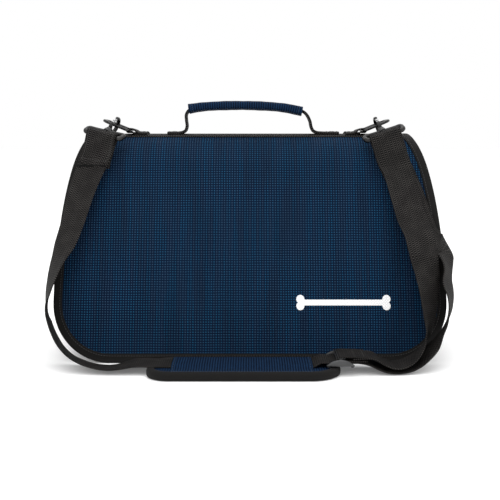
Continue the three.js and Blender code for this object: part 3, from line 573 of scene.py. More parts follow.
def flat_profile(width, thick):
    """The section of webbing: flat faces with rounded selvedges."""
    half, h = width / 2, thick / 2
    faces = np.linspace(-half + 0.9, half - 0.9, 9)
    top = [(x, h) for x in faces]
    right = [(half - 0.25, h * 0.62), (half, 0), (half - 0.25, -h * 0.62)]
    left = [(-half + 0.25, -h * 0.62), (-half, 0), (-half + 0.25, h * 0.62)]
    return top + right + [(x, -h) for x in faces[::-1]] + left


LOOSE = 0.3


def catmull(points, count, centripetal=True):
    """The curve of the frame's webbing: count + 1 points, evenly spaced in its parameter.

    The curve that isn't centripetal has the even tension that the webbing's width turns with."""
    p = np.asarray(points, float)
    p = np.concatenate([[2 * p[0] - p[1]], p, [2 * p[-1] - p[-2]]])
    made = []
    for i in range(count + 1):
        at = (len(p) - 3) * i / count
        k = min(int(at), len(p) - 4)
        w = at - k
        p0, p1, p2, p3 = p[k:k + 4]
        if centripetal:
            d0, d1, d2 = (max(((b - a) @ (b - a)) ** 0.25, 1e-4)
                          for a, b in ((p0, p1), (p1, p2), (p2, p3)))
            m1 = ((p1 - p0) / d0 - (p2 - p0) / (d0 + d1) + (p2 - p1) / d1) * d1
            m2 = ((p2 - p1) / d1 - (p3 - p1) / (d1 + d2) + (p3 - p2) / d2) * d1
        else:
            m1 = LOOSE * (p2 - p0)
            m2 = LOOSE * (p3 - p1)
        made.append((2 * w**3 - 3 * w**2 + 1) * p1 + (w**3 - 2 * w**2 + w) * m1
                    + (3 * w**2 - 2 * w**3) * p2 + (w**3 - w**2) * m2)
    return np.array(made)


def even(points, step):
    """The line again, with points about step apart."""
    points = np.asarray(points, float)
    along = distances(points)
    at = np.linspace(0, along[-1], max(3, int(along[-1] / step) + 1))
    return np.stack([np.interp(at, along, points[:, k]) for k in range(3)], axis=1)


STITCH_RINGS = [(-0.5, 0.35), (-0.28, 0.95), (0.0, 1.1), (0.28, 0.95), (0.5, 0.35)]
COIL_RINGS = [(-0.5, 0.5), (-0.38, 1.0), (0.38, 1.0), (0.5, 0.5)]
BAR_SIDES = 6


def little_bars(centres, ways, sideways, rings, length, radius, start=0):
    """Points and faces of many short rounded bars.

    ways is each bar's direction, and sideways is any direction off theirs. rings has the share of the
    length and of the radius at each of a bar's rings. start is the number of its first point."""
    points, faces = [], []
    for at, way in zip(centres, ways):
        side = unit(np.cross(way, sideways))
        up = np.cross(way, side)
        faces += tube_faces(len(rings), BAR_SIDES, start + len(points))
        for shift, size in rings:
            for k in range(BAR_SIDES):
                turn = 2 * math.pi * k / BAR_SIDES
                points.append(at + way * shift * length
                              + (side * math.cos(turn) + up * math.sin(turn)) * radius * size)
    return points, faces


def stitches(name, runs, body, material, pitch=3.2, length=2.3, radius=0.32):
    """Raised stitches along runs of points, each run a line that already lies on the cloth."""
    points, faces = [], []
    for run in runs:
        line = even(run, pitch)
        bars = little_bars(line, tangents(line), (0.31, 0.52, 0.79), STITCH_RINGS, length, radius,
                           len(points))
        points += bars[0]
        faces += bars[1]
    return outward(mesh_piece(name, points, faces, material, body))


# ---- the cabin's two curves -----------------------------------------------------------------
def side_curve():
    """The side of a panel's outline above its corner: arrays of z and x."""
    t = np.linspace(0, 1, 80)
    weights = np.stack([(1 - t)**3, 3 * t * (1 - t)**2, 3 * t**2 * (1 - t), t**3])
    xs = np.array([HALF_WIDTH, HALF_WIDTH, SIDE_PULL_HIGH[0], RIDGE_HALF]) @ weights
    zs = np.array([CORNER_R, SIDE_PULL_LOW, SIDE_PULL_HIGH[1], APEX_Z + SKIN_INSET]) @ weights
    return zs, xs


SIDE_Z, SIDE_X = side_curve()
SIDE_SLOPE = np.gradient(SIDE_X, SIDE_Z)


def half_width(z, inset):
    """Half the width of the outline at a height, moved inwards by inset."""
    z = np.asarray(z, float)
    slope = np.interp(z, SIDE_Z, SIDE_SLOPE)
    high = np.interp(z, SIDE_Z, SIDE_X) - inset * np.sqrt(1 + slope**2)
    radius = CORNER_R - inset
    low = FLAT_HALF + np.sqrt(np.maximum(radius**2 - (CORNER_R - z)**2, 0))
    return np.where(z < CORNER_R, low, high)


def half_depth(z, inset=0.0):
    """Half the depth of the cabin at a height, moved inwards by inset."""
    z = np.asarray(z, float)
    leg = BASE_HALF_DEPTH - inset / math.cos(LEAN) - z * math.tan(LEAN)
    radius = RIDGE_R - inset
    arc = np.sqrt(np.maximum(radius**2 - (z - ARC_Z)**2, 0))
    return np.where(z > ARC_Z + radius * math.cos(MAX_TURN), arc, leg)


def turn_at(z):
    """How far the panel's face has turned from level at a height of its outer surface."""
    return np.minimum(np.arccos(np.clip((np.asarray(z, float) - ARC_Z) / RIDGE_R, -1, 1)), MAX_TURN)


def girth_at(z):
    """The length of cloth from the ridge's middle down to a height."""
    z = np.asarray(z, float)
    run = np.maximum(ARC_Z + RIDGE_R * math.cos(MAX_TURN) - z, 0) / math.sin(MAX_TURN)
    return RIDGE_R * turn_at(z) + run


def height_at(girth):
    """The height a length of cloth below the ridge's middle."""
    turn = np.minimum(girth / RIDGE_R, MAX_TURN)
    run = np.maximum(girth - ARC_LENGTH, 0)
    return ARC_Z + RIDGE_R * np.cos(turn) - run * math.sin(MAX_TURN)


def on_panel(x, z, out, side):
    """A point that stands out from the panel's outer face. side is -1 for the front, 1 for the back."""
    x, z, out = np.broadcast_arrays(np.asarray(x, float), np.asarray(z, float), np.asarray(out, float))
    turn = turn_at(z)
    y = half_depth(z) + out * np.sin(turn)
    return np.stack([x, side * y, z + out * np.cos(turn)], axis=-1)


# ---- panels ---------------------------------------------------------------------------------
def panel_rows():
    """Heights of a panel's rows: even along the cloth, then round the lower corners."""
    straight = height_at(np.linspace(0.6, girth_at(CORNER_R), 64))
    steps = np.linspace(0, 1, 20)[1:]
    radius = CORNER_R - SKIN_INSET
    return np.concatenate([straight, CORNER_R - radius * np.sin(steps * math.pi / 2)])


SWELL = 2.0
RIPPLE = 0.18


def swell(x, u, girth, side):
    """How far the foam stands proud of the frame's face: most in the panel's middle, and rippled.

    u runs from -1 to 1 across the panel. girth is the length of cloth from the ridge."""
    fade_in = np.clip((girth - 26) / 70, 0, 1)
    fade_out = np.clip((girth_at(0) - 14 - girth) / 60, 0, 1)
    hump = (3 * fade_in**2 - 2 * fade_in**3) * (3 * fade_out**2 - 2 * fade_out**3)
    ripple = RIPPLE * np.sin(x / 37.0 + 1.3 * side) * np.sin(girth / 29.0) * (1 - u**2)
    return SWELL * hump * (1 - u**2)**0.7 + ripple


def build_panel(name, side):
    z = panel_rows()[:, None]
    u = np.linspace(-1, 1, 81)[None, :]
    u = np.sign(u) * np.abs(u)**0.9
    x = u * half_width(z, SKIN_INSET)
    girth = girth_at(z)
    outer = on_panel(x, z, swell(x, u, girth, side), side)
    inner = on_panel(x, z, -PANEL_T, side)
    # both faces stop short of the other panel at the ridge
    for points in (outer, inner):
        points[..., 1] = side * np.maximum(side * points[..., 1], RIDGE_SEAM)
    uv = np.stack(np.broadcast_arrays(x, girth), axis=-1)
    piece = shell(name, outer, inner, uv, NAVY, "carrier", LINING, flip=side > 0)
    sharpen(outward(piece), 50)
    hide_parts(name.replace("_shell", ""))


# ---- binding tape ---------------------------------------------------------------------------
def rim_stations():
    """The way round a panel's edge: (sign, kind, value) from the ridge on the left to the right."""
    sides = [("side", girth) for girth in np.linspace(0.0, girth_at(CORNER_R), 58)]
    corner = [("corner", turn) for turn in np.linspace(0, math.pi / 2, 21)[1:]]
    flat = [("flat", x) for x in np.linspace(FLAT_HALF, 0, 16)[1:]]
    half = sides + corner + flat
    return [(-1, *row) for row in half] + [(1, *row) for row in half[-2::-1]]


def rim_point(station, inset, out, wrap, side):
    """A point of the tape: inset from the edge, out from the face, wrapped over the edge."""
    sign, kind, value = station
    if kind == "side":
        z = float(height_at(value))
        x = float(half_width(z, inset))
    elif kind == "corner":
        radius = CORNER_R - inset
        z = CORNER_R - radius * math.sin(value)
        x = FLAT_HALF + radius * math.cos(value)
    else:
        z = inset
        x = value
    point = on_panel(x, z, out, side)
    if wrap > 0:
        dip = (math.pi / 2) * (1 - float(turn_at(z)) / MAX_TURN)
        point[1] -= side * wrap * math.cos(dip)
        point[2] -= wrap * math.sin(dip)
        if kind == "side":
            point[0] = float(half_width(point[2], inset))
    point[1] = side * max(side * point[1], RIDGE_SEAM)
    return (sign * point[0], point[1], point[2])


TAPE_SECTION = [  # inset from the edge, height over the face, wrap over the edge
    (TAPE_W, 0.30, 0), (TAPE_W - 0.3, 1.15, 0), (TAPE_W - 1.2, 1.45, 0), (TAPE_W - 3.0, 1.30, 0),
    (TAPE_W - 5.0, 1.55, 0), (4.0, 1.6, 0), (2.0, 1.55, 0), (0.9, 1.4, 0), (0.25, 1.0, 0), (0.0, 0.2, 0),
    (0.0, -1.0, 0), (0.0, -1.0, 2.5), (0.0, -1.0, 5.0), (0.0, -1.0, 8.0), (0.1, -1.0, 10.5),
    (0.9, -1.0, 11.6),
]


def build_binding(name, side):
    stations = rim_stations()
    outer = np.array([[rim_point(s, *row, side) for row in TAPE_SECTION] for s in stations])
    inner_section = [(max(inset, 1.1) if inset < TAPE_W - 2 else inset, min(out, 0.25), wrap)
                     for inset, out, wrap in TAPE_SECTION]
    inner_section[0] = (TAPE_W - 0.2, 0.28, 0)
    inner = np.array([[rim_point(s, *row, side) for row in inner_section] for s in stations])
    for skin in (outer, inner):
        skin[..., 2] = np.maximum(skin[..., 2], FLOOR_Z)
    # the weave is measured across one station of the corner, and along the tape's face
    uv = uv_grid(distances(outer[70]), distances(outer[:, 5]))
    piece = outward(shell(name, outer, inner, uv, TAPE, "carrier"))
    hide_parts(name.replace("_tape", ""))
    run = np.array([rim_point(s, TAPE_W - 2.6, 1.5, 0, side) for s in stations])
    seam = stitches(name.replace("binding_tape", "binding_stitches"), [run], "carrier", BLACK_THREAD)


# ---- ends -----------------------------------------------------------------------------------
LEG_STEPS = 26
ARC_STEPS = 24


def arch_stations(inset, low_z):
    """(y, z) up the front leg of an arch, over its top and down the back leg, inset from the cabin."""
    radius = RIDGE_R - inset
    join_z = ARC_Z + radius * math.cos(MAX_TURN)
    leg = [(-float(half_depth(z, inset)), z) for z in np.linspace(low_z, join_z, LEG_STEPS)]
    turns = np.linspace(-MAX_TURN, MAX_TURN, ARC_STEPS)[1:-1]
    arc = [(radius * math.sin(t), ARC_Z + radius * math.cos(t)) for t in turns]
    return np.array(leg + arc + [(-y, z) for y, z in leg[::-1]])


def end_grid(yz, sign, depth):
    """Points of an end's skin from an array of (y, z)."""
    y, z = yz[..., 0], yz[..., 1]
    depth = np.broadcast_to(depth, y.shape)
    return np.stack([sign * half_width(z, depth), y, z], axis=-1)


def end_skin(name, sign, yz, depth, thick, uv, material, body=None):
    """A skin of an end: depth is how far its outer face lies inside the cabin's outline."""
    return outward(shell(name, end_grid(yz, sign, depth), end_grid(yz, sign, depth + thick), uv,
                         material, body))


def arch_skin(name, sign, insets, low_z, depth, thick, material, body=None):
    """A band of skin round an arch, between the first inset and the last."""
    yz = np.stack([arch_stations(inset, low_z) for inset in insets], axis=1)
    uv = uv_grid(np.array(insets), distances(yz[:, 0]))
    return end_skin(name, sign, yz, depth, thick, uv, material, body)


def arch_band(name, sign, insets, low_z, sill_z, depths, thick, body):
    """A skin round an arch, with a sill across its foot."""
    band = arch_skin(name, sign, insets, low_z, np.array(depths)[None, :], thick, BLACK_CLOTH)
    z = np.linspace(low_z, sill_z, 7)[:, None]
    y = np.linspace(-1, 1, 15)[None, :] * half_depth(z, insets[-1])
    yz = np.stack(np.broadcast_arrays(y, z), axis=-1)
    sill = end_skin(name + "_sill", sign, yz, depths[1], thick, yz, BLACK_CLOTH)
    return sharpen(join(name, [band, sill], body), 45)


def arch_run(sign, inset, low_z, depth):
    """A line along an arch on an end's skin."""
    return end_grid(arch_stations(inset, low_z), sign, depth)


def sill_run(sign, inset, z, depth):
    """A level line across an end's skin, between an arch's legs."""
    half = float(half_depth(z, inset))
    y = np.linspace(-half, half, 20)
    return end_grid(np.stack([y, np.full_like(y, z)], axis=-1), sign, depth)


def build_gusset():
    """The base and the lower ends: one skin that stands a little proud between the two tapes."""
    turns = np.linspace(math.asin((CORNER_R - FRAME_Z) / CORNER_R), math.pi / 2, 26)

    def path(inset):
        radius = CORNER_R - inset
        left = [(-(FLAT_HALF + radius * math.cos(t)), CORNER_R - radius * math.sin(t)) for t in turns]
        flat = [(x, inset) for x in np.linspace(-FLAT_HALF, FLAT_HALF, 30)[1:-1]]
        return np.array(left + flat + [(-x, z) for x, z in left[::-1]])

    # each lane: the way to the front or back, its inset from that face, its depth inside the outline
    proud, tucked = 0.25, 1.7
    edge = [(PANEL_T + 0.4, tucked), (TAPE_WRAP + 1.2, tucked), (TAPE_WRAP + 2.4, proud)]
    lanes = [(-1, *row) for row in edge] + [(0, 0, proud)] + [(1, *row) for row in edge[::-1]]

    def layer(extra):
        grid = []
        for way, inset, depth in lanes:
            x, z = path(depth + extra).T
            grid.append(np.stack([x, way * half_depth(z, inset), z], axis=-1))
        return np.stack(grid, axis=1)

    outer, inner = layer(0), layer(SKIN_T)
    uv = np.stack(np.broadcast_arrays(outer[..., 1], distances(outer[:, 3])[:, None]), axis=-1)
    piece = outward(shell("base_gusset_skin", outer, inner, uv, BLACK_CLOTH, "carrier", LINING))
    sharpen(piece, 50)
    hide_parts("base_gusset")


NET_PITCH = 3.4
NET_STRAND = 0.30  # the share of a hexagon's radius that is thread
NET_T = 0.55


def hex_net(name, sign, inset, low_z, depth, body):
    """Knitted netting: hexagonal holes in a sheet that fills an arch, as real openings."""
    pitch = NET_PITCH
    top = ARC_Z + RIDGE_R - inset
    corners, faces, index = [], [], {}

    def vertex(y, z):
        key = (round(y, 2), round(z, 2))
        if key not in index:
            index[key] = len(corners)
            corners.append((y, z))
        return index[key]

    radius = pitch / math.sqrt(3)
    row = 0
    z = low_z + radius
    while z < top - radius * 0.6:
        half = float(half_depth(z + radius * 0.4, inset)) - pitch * 0.55
        reach = int(half / pitch) + 1
        for k in range(-reach, reach + 1):
            y = (k + (0.5 if row % 2 else 0)) * pitch
            if abs(y) < half:
                hexagon = [(y + radius * math.sin(turn), z + radius * math.cos(turn))
                           for turn in (math.pi * m / 3 for m in range(6))]
                inner = [(y + (b - y) * (1 - NET_STRAND), z + (c - z) * (1 - NET_STRAND))
                         for b, c in hexagon]
                ring = [vertex(*corner) for corner in hexagon]
                hole = [vertex(*corner) for corner in inner]
                faces += [(ring[m], ring[(m + 1) % 6], hole[(m + 1) % 6], hole[m]) for m in range(6)]
        z += radius * 1.5
        row += 1
    piece = mesh_piece(name, end_grid(np.array(corners), sign, depth), faces, NETTING)
    thick = piece.modifiers.new("strand", "SOLIDIFY")
    thick.thickness = NET_T * MM
    thick.offset = 0
    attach(piece, body)
    return piece


COIL_PITCH = 0.85
COIL_LENGTH = 3.4
COIL_RADIUS = 0.52
COIL_SHIFT = 0.9
ZIP_TAPE_T = 0.5
CABIN_MIDDLE_Z = 130.0


def build_zip(side, sign):
    """Zip tapes and interlocking coils round the door; half of the coils go with the door."""
    low_z = WINDOW_Z + 1.5
    line = WINDOW_INSET + DOOR_GAP / 2
    path = even(arch_run(sign, line, low_z, SKIN_INSET - 0.6), COIL_PITCH)
    tangent = tangents(path)
    across = np.cross(tangent, (sign, 0, 0))
    across = across / np.linalg.norm(across, axis=1)[:, None]
    # across points to the middle of the door or away from it
    top = len(path) // 2
    inwards = 1 if across[top] @ (np.array([0, 0, CABIN_MIDDLE_Z]) - path[top]) > 0 else -1
    for start, owner, body, shift in ((0, "frame", "carrier", -COIL_SHIFT),
                                      (1, "door", f"{side}_door", COIL_SHIFT)):
        centres = path[start::2] + across[start::2] * shift * inwards
        coils = little_bars(centres, across[start::2], (0.9, 0.3, 0.2), COIL_RINGS,
                            COIL_LENGTH, COIL_RADIUS)
        row = outward(mesh_piece(f"{side}_{owner}_coils", *coils, COIL, body))
        if start == 0:
            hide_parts(f"{side}_zip")
    for owner, body, insets in (("frame", "carrier", (line - 7.5, line - 4, line - 1.0)),
                                ("door", f"{side}_door", (line + 1.0, line + 4, line + 7.5))):
        tape = arch_skin(f"{side}_{owner}_zip_tape", sign, insets, low_z, SKIN_INSET - 0.25, ZIP_TAPE_T,
                         TAPE, body)


def build_zip_slider(side, sign):
    low, high = (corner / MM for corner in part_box(f"{side}_zip_slider"))
    middle = (low + high) / 2
    inner_x = low.x if sign > 0 else high.x
    # a shield-shaped wedge, broad at its nose and narrow at its tail: shares of height and half width
    right = [(-0.50, 0.62), (-0.30, 1.0), (0.05, 1.0), (0.42, 0.74), (0.50, 0.45)]
    outline = right + [(h, -w) for h, w in right[::-1]]
    height, half = high.z - low.z, 4.5
    levels = [(0.0, 0.92), (0.3, 1.0), (1.9, 1.0), (2.35, 0.9), (2.5, 0.72)]
    points = [(inner_x + sign * lift, middle.y + w * half * size, middle.z + h * height * size)
              for lift, size in levels for h, w in outline]
    faces = tube_faces(len(levels), len(outline))
    slider = outward(mesh_piece(f"{side}_slider_body", points, faces, ZIP_METAL))
    arch = [(inner_x + sign * (1.9 + 2.6 * math.sin(t)), middle.y, low.z + 4.6 - 3.4 * math.cos(t))
            for t in np.linspace(0.0, math.pi, 14)]
    bridge = sweep(f"{side}_slider_bridge", arch, (0, 1, 0), ellipse(1.3, 0.55, 10, 0.7), ZIP_METAL)
    piece = sharpen(join(f"{side}_zip_slider_cast", [slider, bridge], f"{side}_zip_runner"), 50)
    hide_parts(f"{side}_zip_slider")

    low, high = (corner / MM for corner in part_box(f"{side}_zip_pull"))
    x, y, _ = (low + high) / 2
    # a flat tag, round at its foot, with an eye at its top
    eye_line = [(x, y + 1.5 * math.sin(t), high.z - 2.6 + 2.6 * math.cos(t))
                for t in np.linspace(0, 2 * math.pi, 18)[:-1]]
    eye = sweep(f"{side}_pull_eye", eye_line, (1, 0, 0), ellipse(0.62, 0.5, 8), ZIP_METAL, closed=True)
    tag_line = [(x, y, z) for z in np.linspace(high.z - 4.6, low.z, 14)]
    grow = [(1, 0.55 + 0.45 * min(1, k / 3)) if k < 10 else (1, 1 - 0.07 * (k - 9)**2) for k in range(14)]
    tag = sweep(f"{side}_pull_tag", tag_line, (1, 0, 0), ellipse(0.6, 1.95, 14, 0.6), ZIP_METAL,
                scales=grow)
    pull = join(f"{side}_zip_pull_tag", [eye, tag], f"{side}_zip_tag")
    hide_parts(f"{side}_zip_pull")


def build_end(side, sign):
    insets = (PANEL_T + 0.5, 16.0, 23.0, WINDOW_INSET)
    depths = (SKIN_INSET + 0.2, SKIN_INSET, SKIN_INSET, SKIN_INSET + 0.1)
    end_frame = arch_band(f"{side}_end_frame_skin", sign, insets, FRAME_Z + 0.3, WINDOW_Z, depths,
                          SKIN_T - 0.2, "carrier")
    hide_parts(f"{side}_end_frame")

    edge = WINDOW_INSET + DOOR_GAP
    door_z = WINDOW_Z + 2
    border_insets = (edge, edge + 2.0, edge + DOOR_BORDER - 1.0, edge + DOOR_BORDER)
    border_depths = (SKIN_INSET + 0.7, SKIN_INSET + 0.3, SKIN_INSET + 0.3, SKIN_INSET + 0.9)
    border = arch_band(f"{side}_door_border_skin", sign, border_insets, door_z, door_z + DOOR_BORDER,
                       border_depths, DOOR_T, f"{side}_door")
    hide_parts(f"{side}_door_border")

    net = hex_net(f"{side}_door_netting", sign, edge + DOOR_BORDER - 2.5, door_z + DOOR_BORDER - 2.0,
                  SKIN_INSET + 1.5, f"{side}_door")
    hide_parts(f"{side}_door_mesh")

    seam = DOOR_BORDER - 2.2
    door_runs = [run(sign, edge + seam, door_z + seam, SKIN_INSET + 0.2) for run in (arch_run, sill_run)]
    door_thread = stitches(f"{side}_door_stitches", door_runs, f"{side}_door", BLACK_THREAD)
    frame_runs = [arch_run(sign, 20.5, WINDOW_Z, SKIN_INSET - 0.05),
                  sill_run(sign, 14.5, FRAME_Z + 2.4, SKIN_INSET - 0.05),
                  sill_run(sign, 20.5, WINDOW_Z - 3.0, SKIN_INSET - 0.05)]
    frame_thread = stitches(f"{side}_frame_stitches", frame_runs, "carrier", BLACK_THREAD)
    # the door's fabric hinge along its foot
    fold = sill_run(sign, edge - 0.5, WINDOW_Z + 1.0, SKIN_INSET + 0.5)
    hinge = sweep(f"{side}_door_hinge_fold", fold, (sign, 0, 0), ellipse(0.9, 1.5, 12), BLACK_CLOTH)
    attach(hinge, "carrier")
    build_zip(side, sign)
    build_zip_slider(side, sign)


# ---- ridge ----------------------------------------------------------------------------------
def ridge_line(a, b, lift, steps=12):
    """A line over the ridge from a to b, each (x, length round the ridge), lift above the panels."""
    share = np.linspace(0, 1, steps)[:, None]
    x, round_ridge = (np.array(a) + (np.array(b) - np.array(a)) * share).T
    radius = RIDGE_R + lift
    turn = round_ridge / RIDGE_R
    return np.stack([x, radius * np.sin(turn), ARC_Z + radius * np.cos(turn)], axis=-1)


def ridge_boxes(boxes, lift):
    """Box-and-cross seams on the ridge: each box is (x_low, x_high, half_y)."""
    runs = []
    for x_low, x_high, half in boxes:
        a, b, c, d = (x_low, -half), (x_high, -half), (x_high, half), (x_low, half)
        runs += [ridge_line(*ends, lift) for ends in ((a, b), (b, c), (c, d), (d, a), (a, c), (b, d))]
    return runs


RIDGE_LIFT = 0.3
RIDGE_WEB_T = 1.0
FOOT_LIFT = RIDGE_LIFT + RIDGE_WEB_T + 0.15


def build_ridge():
    """Webbing laid along the ridge, thinner at its selvedges, with a seam along each."""
    low, high = (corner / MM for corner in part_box("ridge_webbing"))
    xs = np.linspace(low.x, high.x, max(4, int((high.x - low.x) / 4)))
    across = np.linspace(-high.y, high.y, 15)
    turn = across / RIDGE_R

    def layer(out):
        radius = RIDGE_R + RIDGE_LIFT + out
        y, z = radius * np.sin(turn), ARC_Z + radius * np.cos(turn)
        return np.stack(np.broadcast_arrays(xs[:, None], y, z), axis=-1)

    top = layer(RIDGE_WEB_T - 0.35 * RIDGE_WEB_T * (np.abs(across) / high.y)**8)
    piece = outward(shell("ridge_webbing_band", top, layer(0), uv_grid(across, xs), WEBBING, "carrier"))
    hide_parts("ridge_webbing")
    edges = [ridge_line((low.x + 2, y), (high.x - 2, y), RIDGE_LIFT + RIDGE_WEB_T, 2)
             for y in (-high.y + 2.2, high.y - 2.2)]
    stitches("ridge_stitches", edges, "carrier", BLACK_THREAD)


# ---- handle ---------------------------------------------------------------------------------
HANDLE_AXIS_Z = 284.0
HANDLE = {"left": -80.0, "right": 77.5, "grip_left": -77.0, "grip_right": 64.0,
          "top_left": 302.0, "top_right": 297.5, "arch": 303.3}
HANDLE_W = 25.0
HANDLE_T = 2.6
GRIP_HALF_Y = 14.8
GRIP_HALF_Z = 5.5
GRIP_POWER = 0.62


def drape(z, y, hold):
    """A height lowered to follow the round of the ridge. hold is how fully, from 0 to 1."""
    return z - hold * (RIDGE_R - math.sqrt(RIDGE_R**2 - y * y))


def grip_spine(start, end):
    """The grip's bowed middle line between two points."""
    h = HANDLE
    return [start, (h["grip_left"] + 20, 0, h["top_left"] - 0.2), (-8, 0, h["arch"]),
            (h["grip_right"] - 24, 0, h["top_right"] + 3.2), end]


def build_handle():
    h = HANDLE
    ridge = APEX_Z + FOOT_LIFT + HANDLE_T / 2
    left_leg = h["left"] + 0.3
    right_leg = h["right"] - 0.3
    points = [
        (-104, 0, ridge), (-97, 0, ridge), (-90, 0, ridge + 0.1), (left_leg - 5.5, 0, ridge + 0.9),
        (left_leg - 1.4, 0, ridge + 3.6), (left_leg + 0.1, 0, ridge + 8),
        (left_leg - 0.6, 0, HANDLE_AXIS_Z), (left_leg - 0.6, 0, HANDLE_AXIS_Z + 8)]
    points += grip_spine((h["grip_left"] + 2.5, 0, h["top_left"] - 3.0),
                         (h["grip_right"] - 1, 0, h["top_right"] - 0.2))
    points += [
        (right_leg - 6.5, 0, HANDLE_AXIS_Z + 8.5), (right_leg - 1.6, 0, HANDLE_AXIS_Z),
        (right_leg + 0.2, 0, ridge + 7), (right_leg + 2.6, 0, ridge + 3.0), (right_leg + 7, 0, ridge + 0.8),
        (right_leg + 14, 0, ridge + 0.1), (105, 0, ridge), (112, 0, ridge)]
    line = even(catmull(points, 400), 2.2)
    legs = sweep("handle_webbing_band", line, (0, 1, 0), flat_profile(HANDLE_W, HANDLE_T), WEBBING)
    # the feet follow the round of the ridge, and the webbing flattens as it leaves them
    reshape(legs, lambda x, y, z: drape(z, y, clamped((ridge + 7 - z) / 6)))
    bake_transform(legs)
    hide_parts("handle_webbing", "handle_foot_left", "handle_foot_right")
    runs = ridge_boxes([(-102, -89, 10), (97, 110, 10)], FOOT_LIFT + HANDLE_T + 0.05)
    seams = stitches("handle_foot_stitches", runs, "carrier", BLACK_THREAD, pitch=2.6, length=1.9)

    # the grip: ribbed cloth wrapped round foam, with a groove for its seam underneath
    spine = even(catmull(grip_spine((h["grip_left"], 0, h["top_left"] - 2.9),
                                    (h["grip_right"] + 1.5, 0, h["top_right"] - 1.6)), 160), 1.6)
    count = len(spine)
    t = np.linspace(0, 1, count)
    wobble = 0.018 * np.sin(t * 23) + 0.012 * np.sin(t * 61 + 1)
    flare = 0.06 * np.exp(-t * 26) + 0.06 * np.exp(-(1 - t) * 26)
    scale = np.stack([1 + 0.4 * wobble + flare, 0.97 + wobble + flare * 1.5], axis=-1)
    profile = [(x, y - (0.7 if abs(x) < 1.4 and y < 0 else 0.0))
               for x, y in ellipse(GRIP_HALF_Y, GRIP_HALF_Z, 40, GRIP_POWER)]
    grip = sweep("handle_grip_wrap", spine, (0, 1, 0), profile, NAVY_GRIP, scales=scale)
    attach(grip, "handle")
    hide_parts("handle_grip")
    up = np.cross(tangents(spine), (0, 1, 0))
    up = up * np.sign(up[:, 2:3])
    runs = [spine - up * 5.3 + np.array([0, y, 0]) for y in (-2.6, 2.6)]
    hoop = ellipse(GRIP_HALF_Y + 0.4, GRIP_HALF_Z + 0.25, 39, GRIP_POWER)
    runs += [np.array([spine[k] + np.array([0, y, 0]) + up[k] * z for y, z in hoop + hoop[:1]])
             for k in (3, count - 4)]
    seams = stitches("handle_grip_stitches", runs, "handle", NAVY_THREAD, pitch=2.8, length=2.0,
                     radius=0.26)


# ---- D-rings and their tabs -----------------------------------------------------------------
RING_WIRE = 1.8
RING_TILT = math.radians(22)
RING_HALF_Y = 21.3
RING_REACH = 33.0
RING_CORNER = 12.0
RING_BAR_Z = APEX_Z + 5.1
GRIP_ALONG = 17.0
TAB_T = 1.2
TAB_W = 34.0
LEFT_BAR_X = -152.0
RIGHT_BAR_X = 143.0


def build_ring(side, sign, bar_x):
    along = np.array([sign * math.cos(RING_TILT), 0, math.sin(RING_TILT)])

    def place(a, y):
        return np.array([bar_x, 0, RING_BAR_Z]) + along * a + np.array([0, y, 0])

    straight = RING_HALF_Y - RING_CORNER
    turns = np.linspace(0, math.pi / 2, 12)
    points = [place(a, -RING_HALF_Y) for a in (6, 12, 17)]
    for way, start in ((-1, -math.pi / 2), (1, 0)):
        points += [place(RING_REACH - RING_CORNER + RING_CORNER * math.cos(start + t),
                         way * straight + RING_CORNER * math.sin(start + t)) for t in turns]
    points += [place(a, RING_HALF_Y) for a in (17, 12, 6)]
    points += [place(1.2, RING_HALF_Y - 0.5), place(0, RING_HALF_Y - 2.4), place(0, 12), place(0, 0),
               place(0, -12), place(0, 2.4 - RING_HALF_Y), place(1.2, 0.5 - RING_HALF_Y)]
    line = catmull(points + points[:1], 150)[:-1]
    normal = np.cross(along, (0, 1, 0))
    ring = sweep(f"{side}_d_ring_wire", line, normal, ellipse(RING_WIRE, RING_WIRE, 14),
                 GUNMETAL, f"{side}_ring", closed=True)
    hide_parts(f"{side}_d_ring")

    # the tab: webbing folded round the ring's bar, sewn flat to the ridge
    inner = RING_WIRE + 0.35 + TAB_T / 2
    sewn = APEX_Z + FOOT_LIFT + TAB_T / 2
    back = -sign
    lower = [(bar_x + back * d, 0, sewn + dz) for d, dz in ((24, 0), (18, 0), (12, 0.1), (8, 0.4))]
    fold = [(bar_x - back * inner * math.sin(t), 0, RING_BAR_Z - inner * math.cos(t))
            for t in np.linspace(-0.5, math.pi + 0.35, 14)]
    upper = [(bar_x + back * 7.5, 0, sewn + 3.6), (bar_x + back * 11.5, 0, sewn + 1.9),
             (bar_x + back * 16, 0, sewn + 1.35), (bar_x + back * 23, 0, sewn + 1.3)]
    tab_line = even(catmull(lower + fold + upper, 160), 1.2)
    tab = sweep(f"{side}_ring_tab_fold", tab_line, (0, 1, 0), flat_profile(TAB_W, TAB_T), WEBBING)
    reshape(tab, lambda x, y, z: drape(
        z, y, clamped((sewn + 4 - z) / 3) * clamped((abs(x - bar_x) - 4) / 5)))
    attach(tab, "carrier")
    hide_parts(f"{side}_d_ring_tab")
    xs = sorted((bar_x + back * 13.5, bar_x + back * 22))
    runs = ridge_boxes([(*xs, 14)], FOOT_LIFT + 2 * TAB_T + 0.2)
    seams = stitches(f"{side}_tab_stitches", runs, "carrier", BLACK_THREAD, pitch=2.6, length=1.9)


# ---- snap hooks -----------------------------------------------------------------------------
BOWL_R = 7.2
CLAW_W = 3.6
CLAW_SECTION = (2.4, 2.15)
LOOP_ROD = 2.5
LOOP_END_FAT = 0.26
LOOP_HALF = 23.5
LOOP_RISE = 9.0
HUB_R = 5.0


